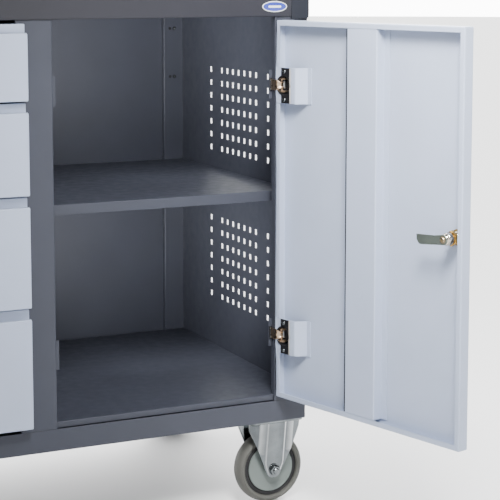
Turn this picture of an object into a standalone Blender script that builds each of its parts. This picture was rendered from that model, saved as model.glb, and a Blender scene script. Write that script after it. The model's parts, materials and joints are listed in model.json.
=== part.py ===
"""Mobile workbench with a cupboard bay, a drawer bay and four castors. Metres, +Z up.

The bench is laid out in its own bench frame: X = 0 is the cupboard side of the centre post, Y = 0 the
front plane of the posts, Z = 0 the underside of the base tray. An empty carries that frame, so that the
finished model stands on Z = 0 with its box centred on the Z axis. The door stands open at rest.
"""

import math

import bmesh
import bpy
from mathutils import Matrix, Vector

# ---- driving dimensions (metres) ----
GAP = 0.0003  # between touching pieces
SHEET = 0.0015  # panels and posts
TRAY_SHEET = 0.002

BAY_W = 0.390  # clear width of each bay
POST_W = 0.060
POST_RETURN = 0.0135
TAB_REACH = 0.0085  # the centre post's tabs stand this far into the bay
HINGE_TAB_REACH = 0.0055  # and the right post's, which carry the hinges
TAB_H = 0.048
BODY_D = 0.553
TRAY_H = 0.037
FASCIA_Z = 0.696  # top of the bay openings
FASCIA_H = 0.060
FASCIA_PROUD = 0.004

WORKTOP_T = 0.040
WORKTOP_SIDE = 0.025  # overhang past the body
WORKTOP_FRONT = 0.030
WORKTOP_BACK = 0.017
CAP_W = 0.033
CAP_DROP = 0.005
CAP_WRAP = 0.034

REAR_FLANGE_Y = 0.540
REAR_FLANGE_W = 0.040

HOLE = 0.010
HOLE_PITCH = 0.025
HOLE_FRONT_Y = 0.148
HOLE_ROWS = 7
HOLE_COLUMNS = (0, 2, 3, 4, 5, 6, 7, 8, 10)  # the second and the tenth column are left plain
HOLE_TOPS = (0.5845, 0.2970)  # centres of each grid's top row

FLOOR_Z = 0.0475
FLOOR_FRONT_Y = 0.005
SHELF_Z = 0.396
SHELF_FRONT_Y = 0.041
SHELF_LIP = 0.0173

DOOR_W = 0.417
DOOR_Z = (0.047, 0.6905)
DOOR_T = 0.020
DOOR_SHEET = 0.0012
DOOR_LIP = 0.009
DOOR_OPEN = math.radians(105.4)
PIVOT = Vector((0.398, -0.010))
PIVOT_FROM_EDGE = 0.0055  # axis to the door's hinge edge
PIVOT_FROM_LIP = 0.008  # axis to the plane of the door's lips
STIFFENER = (0.1674, 0.2350)  # raised flat, from the hinge edge
STIFFENER_FOOT = 0.012

HINGE_Z = (0.1555, 0.5820)
CUP_CENTRE = 0.0185  # from the hinge edge
CUP_R = 0.017
CUP_DEPTH = 0.0145
CUP_FACETS = 24
PIN_R = 0.0015
BARREL_R = 0.003
ARM_W = 0.013
ARM_T = 0.003
ARM_REACH = 0.010  # how far the arm's inner leg stands from the axis, towards the bay
ARM_END = 0.0186  # its end, behind the axis
EAR_X = (-0.0045, 0.0150)  # the cup's flange, from the cup's centre
EAR_HALF = 0.0295
EAR_T = 0.0012
NOTCH_HALF = 0.0085  # half the height of the arm's opening in the cup, the bracket and the door
NOTCH_DEPTH = 0.012
BRACKET_HALF = 0.030
BRACKET_X = (0.048, 0.060, 0.068)  # end of the flat, start and end of the foot, from the hinge edge
TAB_PLATE_W = 0.005
TAB_PLATE_HALF = 0.011

LOCK_T = 0.393  # from the hinge edge
LOCK_Z = 0.372
LOCK_R = 0.0095
LOCK_TIP = 0.0135  # the barrel's end stands this far above the lips
ROSETTE_R = 0.0125
ROSETTE_T = 0.0022
NUT_R = 0.0125
NUT_T = 0.005
NUT_DEPTH = 0.0015  # the nut, below the lips
LEVER_REACH = 0.054
LEVER_DROOP = math.radians(5.5)  # its tip hangs below the level
LEVER_W = 0.017
LEVER_T = 0.0025
LEVER_SCREW_R = 0.0048
LEVER_SCREW_H = 0.0025

DRAWER_HEIGHTS = (0.120, 0.145, 0.175, 0.192)  # fronts, top to bottom
DRAWER_GAP = 0.0035
DRAWER_BOX_D = 0.490
DRAWER_BOX_Z = (0.014, 0.028)  # the box's floor above the front's bottom, its rim below the front's top
FRONT_BEHIND = -0.002  # the back plane of the drawer fronts
FRONT_LIP = (0.030, 0.020)  # the back edges folded in behind a front, at its sides and at its ends
GRIP_H = 0.024
GRIP_D = 0.014
GRIP_LIP_H = 0.015  # the grip's front edge, below the top
GRIP_LIP_T = (0.0025, 0.004)  # its thickness at the edge and at the root
RAIL_W = 0.011
RAIL_H = 0.032

CASTOR_H = 0.155
WHEEL_R = 0.0625
TYRE_W = 0.032
PLATE = (0.100, 0.085, 0.004)
PLATE_INSET_Y = 0.005
TRAIL = 0.038
LEG_T = 0.003
LEG_TOP_W = 0.096
LEG_LOW_R = 0.0145
AXLE_R = 0.004
ROUND = 32  # facets of a wheel

# ---- places worked out from them ----
RIGHT = BAY_W + POST_W
LEFT = -2 * POST_W - BAY_W
DRAWER_BAY = (LEFT + POST_W, -POST_W)
POST_Z = (TRAY_H + GAP, FASCIA_Z - GAP)
TOP_Z = FASCIA_Z + FASCIA_H
WORKTOP_X = (LEFT - WORKTOP_SIDE, RIGHT + WORKTOP_SIDE)
WORKTOP_Y = (-WORKTOP_FRONT, BODY_D + WORKTOP_BACK)
LEVER_NOTCH = (LOCK_Z - LEVER_W, LOCK_Z + LEVER_REACH + 0.010)
DOOR_ANGLE = math.pi + DOOR_OPEN  # direction from the hinge edge to the free edge
DOOR_FREE = DOOR_W - PIVOT_FROM_EDGE
DOOR_SKIN = DOOR_T - PIVOT_FROM_LIP
DOOR_FAR_X = PIVOT.x + DOOR_FREE * math.cos(DOOR_ANGLE) - DOOR_SKIN * math.sin(DOOR_ANGLE)
DOOR_NEAR_Y = PIVOT.y + DOOR_FREE * math.sin(DOOR_ANGLE) - PIVOT_FROM_LIP * math.cos(DOOR_ANGLE)
BENCH_ORIGIN = Vector((-(WORKTOP_X[0] + DOOR_FAR_X) / 2, -(DOOR_NEAR_Y + WORKTOP_Y[1]) / 2, CASTOR_H))

for old in list(bpy.data.objects):
    bpy.data.objects.remove(old)


# ---- collections, materials and object helpers ----
def new_collection(name):
    made = bpy.data.collections.new(name)
    bpy.context.scene.collection.children.link(made)
    return made


BENCH = new_collection("mobile_workbench")
CUTTERS = new_collection("cutters")
CUTTERS.hide_render = True


def material(name, colour, roughness, metallic=0.0):
    made = bpy.data.materials.new(name)
    made.use_nodes = True
    shader = made.node_tree.nodes["Principled BSDF"]
    shader.inputs["Base Color"].default_value = (*colour, 1.0)
    shader.inputs["Roughness"].default_value = roughness
    shader.inputs["Metallic"].default_value = metallic
    made.diffuse_color = (*colour, 1.0)
    return made


GREY_PAINT = material("grey_paint", (0.070, 0.078, 0.092), 0.45)
SILVER_PAINT = material("silver_paint", (0.56, 0.61, 0.68), 0.42)
PLASTIC = material("dark_plastic", (0.050, 0.052, 0.058), 0.55)
BEECH = material("beech_multiplex", (0.55, 0.36, 0.19), 0.50)
ZINC = material("zinc_plate", (0.62, 0.63, 0.62), 0.32, 1.0)
BLACK_STEEL = material("black_steel", (0.030, 0.030, 0.032), 0.40, 0.6)
COPPER = material("copper_plate", (0.66, 0.45, 0.28), 0.35, 1.0)
BRASS = material("brass", (0.62, 0.43, 0.16), 0.30, 1.0)
LEVER_STEEL = material("lever_steel", (0.34, 0.36, 0.31), 0.38, 1.0)
RUBBER = material("grey_rubber", (0.20, 0.20, 0.19), 0.75)
WHEEL_PLASTIC = material("wheel_plastic", (0.27, 0.31, 0.29), 0.50)
BADGE_BLUE = material("badge_blue", (0.045, 0.075, 0.38), 0.30)
PEDAL_RED = material("pedal_red", (0.45, 0.03, 0.02), 0.45)


def axis_empty(name, place, parent=None, turn=0.0):
    """An empty on a joint's axis, or carrying a frame. turn is about Z."""
    made = bpy.data.objects.new(name, None)
    BENCH.objects.link(made)
    made.parent = parent
    made.location = place
    made.rotation_euler = (0.0, 0.0, turn)
    return made


def place_object(name, mesh, parent, finish, place=(0, 0, 0), collection=BENCH):
    made = bpy.data.objects.new(name, mesh)
    collection.objects.link(made)
    made.parent = parent
    made.location = place
    if finish is not None:
        mesh.materials.append(finish)
    return made


def mesh_from(bm, name):
    bmesh.ops.recalc_face_normals(bm, faces=bm.faces)
    made = bpy.data.meshes.new(name)
    bm.to_mesh(made)
    bm.free()
    return made


def add_box(bm, low, high):
    low, high = Vector(low), Vector(high)
    size = Matrix.Diagonal((*(high - low), 1.0))
    bmesh.ops.create_cube(bm, size=1.0, matrix=Matrix.Translation((low + high) / 2) @ size)


def boxes_mesh(name, boxes):
    bm = bmesh.new()
    for low, high in boxes:
        add_box(bm, low, high)
    return mesh_from(bm, name)


def box(name, low, high, parent, finish):
    return place_object(name, boxes_mesh(name, [(low, high)]), parent, finish)


# Turns that take a flat outline's own axes (across, up, along) to two bench axes and the extrusion's.
ALONG_X = Matrix(((0, 0, 1), (1, 0, 0), (0, 1, 0))).to_4x4()  # outline in Y and Z
ALONG_Y = Matrix(((1, 0, 0), (0, 0, -1), (0, 1, 0))).to_4x4()  # outline in X and Z
ALONG_Z = Matrix.Identity(4)  # outline in X and Y


def prism_mesh(name, outline, start, end, turn):
    """A flat outline, extruded between two positions on the bench axis that turn names."""
    curve = bpy.data.curves.new(name, "CURVE")
    curve.dimensions = "2D"
    curve.fill_mode = "BOTH"
    curve.extrude = (end - start) / 2
    spline = curve.splines.new("POLY")
    spline.points.add(len(outline) - 1)
    for point, (across, up) in zip(spline.points, outline):
        point.co = (across, up, 0.0, 1.0)
    spline.use_cyclic_u = True
    guide = bpy.data.objects.new(name + "_outline", curve)
    bpy.context.scene.collection.objects.link(guide)
    graph = bpy.context.evaluated_depsgraph_get()
    bm = bmesh.new()
    bm.from_mesh(bpy.data.meshes.new_from_object(guide.evaluated_get(graph)))
    bpy.data.objects.remove(guide)
    bmesh.ops.remove_doubles(bm, verts=bm.verts, dist=1e-6)
    along = turn.to_3x3() @ Vector((0, 0, 1))
    middle = (start + end) / 2
    if along.x + along.y + along.z < 0:
        middle = -middle
    bmesh.ops.transform(bm, matrix=turn @ Matrix.Translation((0, 0, middle)), verts=bm.verts)
    return mesh_from(bm, name)


def prism(name, outline, start, end, turn, parent, finish):
    return place_object(name, prism_mesh(name, outline, start, end, turn), parent, finish)


def cylinder_mesh(name, radius, start, end, turn, facets=ROUND):
    bm = bmesh.new()
    bmesh.ops.create_cone(
        bm, cap_ends=True, segments=facets, radius1=radius, radius2=radius, depth=end - start
    )
    bmesh.ops.transform(bm, matrix=Matrix.Translation((0, 0, (start + end) / 2)), verts=bm.verts)
    bmesh.ops.transform(bm, matrix=turn, verts=bm.verts)
    for face in bm.faces:
        face.smooth = facets > 6 and len(face.verts) == 4
    return mesh_from(bm, name)


# A cylinder's own +Z, turned to bench +Y.
TO_Y = Matrix.Rotation(-math.pi / 2, 4, "X")


def helper(target, name, mesh, place=(0, 0, 0)):
    made = place_object(name, mesh, target.parent, None, place, CUTTERS)
    made.hide_render = True
    made.display_type = "WIRE"
    return made


def combine(target, operation, mesh, place=(0, 0, 0)):
    """Adds or cuts a shape given in the frame of the target's parent."""
    step = len(target.modifiers)
    other = helper(target, f"{target.name}_{operation.lower()}_{step}", mesh, place)
    change = target.modifiers.new(f"{operation.lower()}_{step}", "BOOLEAN")
    change.operation = operation
    change.solver = "EXACT"
    change.object = other
    return target


def cut_box(target, low, high):
    return combine(target, "DIFFERENCE", boxes_mesh("cut", [(low, high)]))


def join_box(target, low, high):
    return combine(target, "UNION", boxes_mesh("join", [(low, high)]))


def tray(name, low, high, sheet, parent, finish):
    """A sheet box that is open at the top: an open surface thickened inwards."""
    bm = bmesh.new()
    add_box(bm, low, high)
    bmesh.ops.recalc_face_normals(bm, faces=bm.faces)
    bmesh.ops.delete(bm, geom=[face for face in bm.faces if face.normal.z > 0.5], context="FACES")
    mesh = bpy.data.meshes.new(name)
    bm.to_mesh(mesh)
    bm.free()
    made = place_object(name, mesh, parent, finish)
    shell = made.modifiers.new("sheet", "SOLIDIFY")
    shell.thickness = sheet
    shell.offset = -1.0
    shell.use_even_offset = True
    return made


def arc(centre, radius, first, last, steps):
    """Points on an arc, angles in degrees."""
    angles = [math.radians(first + (last - first) * k / steps) for k in range(steps + 1)]
    return [(centre[0] + radius * math.cos(a), centre[1] + radius * math.sin(a)) for a in angles]


def turned(name, profile, parent, finish, facets=ROUND):
    """A closed (radius, height) profile turned about the local Z axis, which points along bench Y."""
    mesh = bpy.data.meshes.new(name)
    points = [(radius, 0.0, height) for radius, height in profile]
    edges = [(k, (k + 1) % len(points)) for k in range(len(points))]
    mesh.from_pydata(points, edges, [])
    made = place_object(name, mesh, parent, finish)
    made.rotation_euler = (-math.pi / 2, 0.0, 0.0)
    screw = made.modifiers.new("turn", "SCREW")
    screw.steps = facets
    screw.render_steps = facets
    screw.use_merge_vertices = True
    screw.merge_threshold = 1e-5
    screw.use_smooth_shade = True
    return made


# ---- carcass ----
def channel_outline(low_x, high_x, front, back):
    """A C channel seen from above: front flange with a return at each side."""
    inner = front + SHEET
    return [
        (low_x, front),
        (high_x, front),
        (high_x, back),
        (high_x - SHEET, back),
        (high_x - SHEET, inner),
        (low_x + SHEET, inner),
        (low_x + SHEET, back),
        (low_x, back),
    ]


def make_posts(frame):
    right_inset = SHEET + GAP  # the side panel stands outside the post's outer return
    right = prism(
        "post_right",
        channel_outline(BAY_W, RIGHT - right_inset, 0.0, POST_RETURN),
        *POST_Z,
        ALONG_Z,
        frame,
        GREY_PAINT,
    )
    join_box(right, (BAY_W, 0.0, POST_Z[0]), (RIGHT, SHEET, POST_Z[1]))
    centre = prism(
        "post_centre",
        channel_outline(-POST_W, 0.0, 0.0, POST_RETURN),
        *POST_Z,
        ALONG_Z,
        frame,
        GREY_PAINT,
    )
    tab_y = (POST_RETURN - SHEET, POST_RETURN)
    for height in HINGE_Z:
        low, high = height - TAB_H / 2, height + TAB_H / 2
        join_box(right, (BAY_W - HINGE_TAB_REACH, tab_y[0], low), (BAY_W + SHEET, tab_y[1], high))
        join_box(centre, (-SHEET, tab_y[0], low), (TAB_REACH, tab_y[1], high))
    # The lock's lever swings behind the front flange through this notch in the return.
    cut_box(
        centre,
        (-2 * SHEET, SHEET + GAP, LEVER_NOTCH[0]),
        (SHEET, POST_RETURN + SHEET, LEVER_NOTCH[1]),
    )
    left = prism(
        "post_left",
        channel_outline(LEFT + right_inset, LEFT + POST_W, 0.0, POST_RETURN),
        *POST_Z,
        ALONG_Z,
        frame,
        GREY_PAINT,
    )
    join_box(left, (LEFT, 0.0, POST_Z[0]), (LEFT + POST_W, SHEET, POST_Z[1]))


def side_outline(side):
    """A side panel seen from above, folded inwards at the back. side is +1 at the right."""
    outer = 0.0
    inner = -SHEET
    flange = -REAR_FLANGE_W - SHEET
    front = SHEET + GAP
    points = [
        (outer, front),
        (outer, REAR_FLANGE_Y + SHEET),
        (flange + SHEET, REAR_FLANGE_Y + SHEET),
        (flange + SHEET, BODY_D - SHEET - GAP),
        (flange, BODY_D - SHEET - GAP),
        (flange, REAR_FLANGE_Y),
        (inner, REAR_FLANGE_Y),
        (inner, front),
    ]
    edge = RIGHT if side > 0 else LEFT
    return [(edge + side * across, depth) for across, depth in points]


def perforation_mesh(low_x, high_x):
    """Square punches on the panel's grid, as one mesh of separate boxes."""
    half = HOLE / 2
    punches = []
    for top in HOLE_TOPS:
        for row in range(HOLE_ROWS):
            for column in HOLE_COLUMNS:
                y = HOLE_FRONT_Y + column * HOLE_PITCH
                z = top - row * HOLE_PITCH
                punches.append(((low_x, y - half, z - half), (high_x, y + half, z + half)))
    return boxes_mesh("punches", punches)


def make_panels(frame):
    for side, name in ((1, "side_panel_right"), (-1, "side_panel_left")):
        panel = prism(name, side_outline(side), *POST_Z, ALONG_Z, frame, GREY_PAINT)
        edge = RIGHT if side > 0 else LEFT
        reach = 4 * SHEET
        combine(panel, "DIFFERENCE", perforation_mesh(edge - reach, edge + reach))
    middle = -POST_W / 2
    partition = box(
        "partition",
        (middle - SHEET / 2, POST_RETURN + GAP, POST_Z[0]),
        (middle + SHEET / 2, BODY_D - SHEET - GAP, POST_Z[1]),
        frame,
        GREY_PAINT,
    )
    # Room for the lock's lever behind the post.
    cut_box(
        partition,
        (middle - SHEET, POST_RETURN - SHEET, LEVER_NOTCH[0]),
        (middle + SHEET, POST_RETURN + 4 * SHEET, LEVER_NOTCH[1]),
    )
    box(
        "back_panel",
        (LEFT, BODY_D - SHEET, POST_Z[0]),
        (RIGHT, BODY_D, POST_Z[1]),
        frame,
        GREY_PAINT,
    )


def folded_board(name, top, front, back, lip, frame, low_x, high_x):
    """A sheet board with a lip folded down at its front and its back."""
    bottom = top - lip
    under = top - SHEET
    outline = [
        (front, bottom),
        (front + SHEET, bottom),
        (front + SHEET, under),
        (back - SHEET, under),
        (back - SHEET, bottom),
        (back, bottom),
        (back, top),
        (front, top),
    ]
    return prism(name, outline, low_x, high_x, ALONG_X, frame, GREY_PAINT)


def make_boards(frame):
    low_x = -POST_W / 2 + SHEET / 2 + GAP
    high_x = RIGHT - SHEET - GAP
    back = REAR_FLANGE_Y - GAP
    floor_lip = FLOOR_Z - TRAY_H - GAP
    floor = folded_board("cupboard_floor", FLOOR_Z, FLOOR_FRONT_Y, back, floor_lip, frame, low_x, high_x)
    # The floor's front corners are cut back round the posts.
    corner_back = POST_RETURN + GAP
    cut_box(floor, (low_x - 0.01, 0.0, 0.0), (GAP, corner_back, FLOOR_Z + 0.01))
    cut_box(floor, (BAY_W - GAP, 0.0, 0.0), (high_x + 0.01, corner_back, FLOOR_Z + 0.01))
    folded_board("shelf", SHELF_Z, SHELF_FRONT_Y, back, SHELF_LIP, frame, low_x, high_x)
    rest = 0.018
    rest_y = (SHELF_FRONT_Y + 0.030, back - 0.030)
    top = SHELF_Z - SHEET - GAP
    for name, wall, reach in (
        ("shelf_support_left", low_x, rest),
        ("shelf_support_right", high_x, -rest),
    ):
        outline = [
            (wall, top),
            (wall + reach, top),
            (wall + reach, top - SHEET),
            (wall + math.copysign(SHEET, reach), top - SHEET),
            (wall + math.copysign(SHEET, reach), top - rest),
            (wall, top - rest),
        ]
        prism(name, outline, *rest_y, ALONG_Y, frame, GREY_PAINT)


def make_top(frame):
    tray("top_tray", (LEFT, 0.0, FASCIA_Z), (RIGHT, BODY_D, TOP_Z - GAP), SHEET, frame, GREY_PAINT)
    crown = 0.001
    fascia_back = -GAP
    outline = [
        (fascia_back, FASCIA_Z),
        (-FASCIA_PROUD + crown, FASCIA_Z),
        (-FASCIA_PROUD, FASCIA_Z + 4 * crown),
        (-FASCIA_PROUD, TOP_Z - GAP - 4 * crown),
        (-FASCIA_PROUD + crown, TOP_Z - GAP),
        (fascia_back, TOP_Z - GAP),
    ]
    inner = CAP_W - 0.002
    prism("fascia", outline, LEFT + inner + GAP, RIGHT - inner - GAP, ALONG_X, frame, GREY_PAINT)
    corner = 0.008
    for name, side, edge in (("end_cap_right", 1, RIGHT), ("end_cap_left", -1, LEFT)):
        low, high = FASCIA_Z - CAP_DROP, TOP_Z - GAP
        outer = 0.002
        profile = [
            (-inner, high),
            (-inner, low),
            *arc((outer - corner, low + corner), corner, -90, 0, 6),
            (outer, high),
        ]
        outline = [(edge + side * across, height) for across, height in profile]
        cap = prism(name, outline, -FASCIA_PROUD, -GAP, ALONG_Y, frame, PLASTIC)
        near, far = sorted((edge + side * GAP, edge + side * outer))
        join_box(cap, (near, -FASCIA_PROUD / 2, FASCIA_Z), (far, CAP_WRAP, high))
    box(
        "worktop",
        (WORKTOP_X[0], WORKTOP_Y[0], TOP_Z),
        (WORKTOP_X[1], WORKTOP_Y[1], TOP_Z + WORKTOP_T),
        frame,
        BEECH,
    )
    badge_half = (0.0228, 0.0092)
    badge_centre = (0.3867, FASCIA_Z + 0.0168)
    steps = 32
    angles = [2 * math.pi * k / steps for k in range(steps)]
    oval = [
        (badge_centre[0] + badge_half[0] * math.cos(a), badge_centre[1] + badge_half[1] * math.sin(a))
        for a in angles
    ]
    face = -FASCIA_PROUD - GAP
    prism("badge", oval, face - 0.0012, face, ALONG_Y, frame, BADGE_BLUE)


# ---- door, in the door's frame: x from the axis to the free edge, y outwards through the skin ----
def from_edge(distance):
    return distance - PIVOT_FROM_EDGE


def from_lip(depth):
    """The door's y at a depth below the plane of its lips."""
    return depth - PIVOT_FROM_LIP


def make_door(door):
    lip, skin = from_lip(0.0), from_lip(DOOR_T)
    low = (from_edge(0.0), lip, DOOR_Z[0])
    high = (from_edge(DOOR_W), skin, DOOR_Z[1])
    panel = box("door_panel", low, high, door, SILVER_PAINT)
    sheet = DOOR_SHEET
    cut_box(
        panel,
        (low[0] + sheet, lip + sheet, low[2] + sheet),
        (high[0] - sheet, skin - sheet, high[2] - sheet),
    )
    cut_box(
        panel,
        (low[0] + DOOR_LIP, lip - sheet, low[2] + DOOR_LIP),
        (high[0] - DOOR_LIP, lip + 2 * sheet, high[2] - DOOR_LIP),
    )
    seat_half = BRACKET_HALF + 0.001
    notch = NOTCH_HALF + 0.0005
    for height in HINGE_Z:
        cut_box(
            panel,
            (low[0] + sheet, lip - sheet, height - seat_half),
            (low[0] + 2 * DOOR_LIP, lip + 2 * sheet, height + seat_half),
        )
        cut_box(
            panel,
            (low[0] - sheet, lip - sheet, height - notch),
            (low[0] + 2 * sheet, lip + NOTCH_DEPTH, height + notch),
        )
    hole = cylinder_mesh("lock_hole", LOCK_R + GAP, skin - 3 * sheet, skin + 3 * sheet, TO_Y)
    combine(panel, "DIFFERENCE", hole, (from_edge(LOCK_T), 0.0, LOCK_Z))

    top, foot = from_lip(0.0005), from_lip(DOOR_T - sheet - GAP)
    left, right = from_edge(STIFFENER[0]), from_edge(STIFFENER[1])
    hat = [
        (left - STIFFENER_FOOT, foot),
        (left + sheet, foot),
        (left + sheet, top + sheet),
        (right - sheet, top + sheet),
        (right - sheet, foot),
        (right + STIFFENER_FOOT, foot),
        (right + STIFFENER_FOOT, foot - sheet),
        (right, foot - sheet),
        (right, top),
        (left, top),
        (left, foot - sheet),
        (left - STIFFENER_FOOT, foot - sheet),
    ]
    end = DOOR_LIP + GAP
    prism("door_stiffener", hat, DOOR_Z[0] + end, DOOR_Z[1] - end, ALONG_Z, door, SILVER_PAINT)


def make_hinge(name, height, door, frame):
    """One cup hinge. Its arm is fixed to the post's tab, and its cup to the door's bracket."""
    half = BRACKET_HALF
    notch = NOTCH_HALF
    lip = from_lip(0.0)
    floor = from_lip(DOOR_T - DOOR_SHEET - GAP)
    plate_end, foot_start, foot_end = [from_edge(distance) for distance in BRACKET_X]
    start = from_edge(DOOR_SHEET + GAP)
    profile = [
        (start, lip),
        (plate_end, lip),
        (foot_start, floor - SHEET),
        (foot_end, floor - SHEET),
        (foot_end, floor),
        (foot_start - 0.001, floor),
        (plate_end - 0.001, lip + SHEET),
        (start, lip + SHEET),
    ]
    bracket = prism(
        f"hinge_bracket_{name}", profile, height - half, height + half, ALONG_Z, door, SILVER_PAINT
    )
    centre = (from_edge(CUP_CENTRE), 0.0, height)
    seat = cylinder_mesh("seat", CUP_R + 2 * GAP, lip - 0.005, lip + 0.005, TO_Y, CUP_FACETS)
    combine(bracket, "DIFFERENCE", seat, centre)
    cut_box(
        bracket,
        (from_edge(0.0), lip - SHEET, height - notch),
        (from_edge(PIVOT_FROM_EDGE), lip + 2 * SHEET, height + notch),
    )

    flange = (lip - GAP - EAR_T, lip - GAP)
    cup = place_object(
        f"hinge_cup_{name}",
        cylinder_mesh("cup", CUP_R, flange[0], lip + CUP_DEPTH, TO_Y, CUP_FACETS),
        door,
        BLACK_STEEL,
        centre,
    )
    cup_wall = 0.0012
    ears = boxes_mesh("ears", [((EAR_X[0], flange[0], -EAR_HALF), (EAR_X[1], flange[1], EAR_HALF))])
    combine(cup, "UNION", ears, centre)
    bowl_end = lip + CUP_DEPTH - cup_wall
    bowl = cylinder_mesh("bowl", CUP_R - cup_wall, flange[0] - 0.001, bowl_end, TO_Y, CUP_FACETS)
    combine(cup, "DIFFERENCE", bowl, centre)
    cut_box(
        cup,
        (from_edge(0.0), flange[0] - 0.001, height - notch),
        (from_edge(PIVOT_FROM_EDGE), lip + CUP_DEPTH - 2 * cup_wall, height + notch),
    )
    pin_half = 0.0100
    combine(
        cup,
        "UNION",
        cylinder_mesh("pin", PIN_R, height - pin_half, height + pin_half, ALONG_Z, 12),
    )

    # The arm reaches round the door's lip. Its path is given from the axis: across the bay, and inwards.
    path = [(0.0, 0.0), (0.5 * ARM_REACH, 0.0), (0.8 * ARM_REACH, 0.15 * ARM_REACH)]
    path += [(ARM_REACH, 0.5 * ARM_REACH), (ARM_REACH, ARM_REACH), (ARM_REACH, ARM_END)]
    bm = bmesh.new()
    rows = []
    for across, inwards in path:
        x, y = PIVOT.x - across, PIVOT.y + inwards
        rows.append([bm.verts.new((x, y, height + side * ARM_W / 2)) for side in (-1, 1)])
    for near, far in zip(rows, rows[1:]):
        bm.faces.new((near[0], far[0], far[1], near[1]))
    mesh = bpy.data.meshes.new("arm")
    bm.to_mesh(mesh)
    bm.free()
    arm = place_object(f"hinge_arm_{name}", mesh, frame, COPPER)
    thick = arm.modifiers.new("strip", "SOLIDIFY")
    thick.thickness = ARM_T
    thick.offset = 0.0
    thick.use_even_offset = True
    low, high = height - ARM_W / 2, height + ARM_W / 2
    barrel = cylinder_mesh("barrel", BARREL_R, low + 0.0002, high - 0.0002, ALONG_Z, 16)
    combine(arm, "UNION", barrel, (PIVOT.x, PIVOT.y, 0.0))
    bore = cylinder_mesh("bore", PIN_R + 0.0001, low - 0.002, high + 0.002, ALONG_Z, 12)
    combine(arm, "DIFFERENCE", bore, (PIVOT.x, PIVOT.y, 0.0))

    plate_front = PIVOT.y + path[-1][1] + GAP
    tab_front = POST_RETURN - SHEET - GAP
    box(
        f"hinge_plate_{name}",
        (BAY_W - TAB_PLATE_W, plate_front, height - TAB_PLATE_HALF),
        (BAY_W - GAP, tab_front, height + TAB_PLATE_HALF),
        frame,
        BLACK_STEEL,
    )


def make_lock(door, cam):
    place = (from_edge(LOCK_T), 0.0, LOCK_Z)
    skin, tip = from_lip(DOOR_T), from_lip(-LOCK_TIP)
    lock = place_object(
        "lock_body",
        cylinder_mesh("barrel", LOCK_R, tip, skin + 0.001, TO_Y, 24),
        door,
        BRASS,
        place,
    )
    rosette = cylinder_mesh("rosette", ROSETTE_R, skin + GAP, skin + ROSETTE_T, TO_Y, 24)
    combine(lock, "UNION", rosette, place)
    nut = cylinder_mesh("nut", NUT_R, from_lip(NUT_DEPTH), from_lip(NUT_DEPTH) + NUT_T, TO_Y, 6)
    combine(lock, "UNION", nut, place)

    # The lever turns about the cam's own empty, and points to the hinge side when unlocked.
    reach = LEVER_REACH - LEVER_W / 2
    tip_at = (-reach * math.cos(LEVER_DROOP), -reach * math.sin(LEVER_DROOP))
    turn = math.degrees(LEVER_DROOP)
    outline = [
        *arc((0.0, 0.0), LEVER_W / 2, turn - 90, turn + 90, 10),
        *arc(tip_at, LEVER_W / 2, turn + 90, turn + 270, 10),
    ]
    back = tip - GAP
    face = back - LEVER_T
    lever = prism("cam_lever", outline, face, back, ALONG_Y, cam, LEVER_STEEL)
    screw = cylinder_mesh("screw", LEVER_SCREW_R, face - LEVER_SCREW_H, face + LEVER_T / 2, TO_Y, 16)
    combine(lever, "UNION", screw)


# ---- drawers ----
def drawer_fronts():
    """(bottom, top) of each drawer front, from the top drawer down."""
    top = DOOR_Z[1]
    spans = []
    for height in DRAWER_HEIGHTS:
        spans.append((top - height, top))
        top -= height + DRAWER_GAP
    return spans


def hollow_front(front, half, height):
    """Leaves a pan of door sheet, with back edges that the drawer box is fixed to."""
    sheet = DOOR_SHEET
    under_grip = height - GRIP_H - 0.004 - sheet
    cut_box(front, (sheet - half, sheet - DOOR_T, sheet), (half - sheet, -sheet, under_grip))
    cut_box(
        front,
        (sheet - half, GRIP_D - DOOR_T + sheet, 2 * sheet),
        (half - sheet, -sheet, height - sheet),
    )
    cut_box(
        front,
        (FRONT_LIP[0] - half, -2 * sheet, FRONT_LIP[1]),
        (half - FRONT_LIP[0], sheet, height - 2 * FRONT_LIP[1]),
    )


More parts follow.
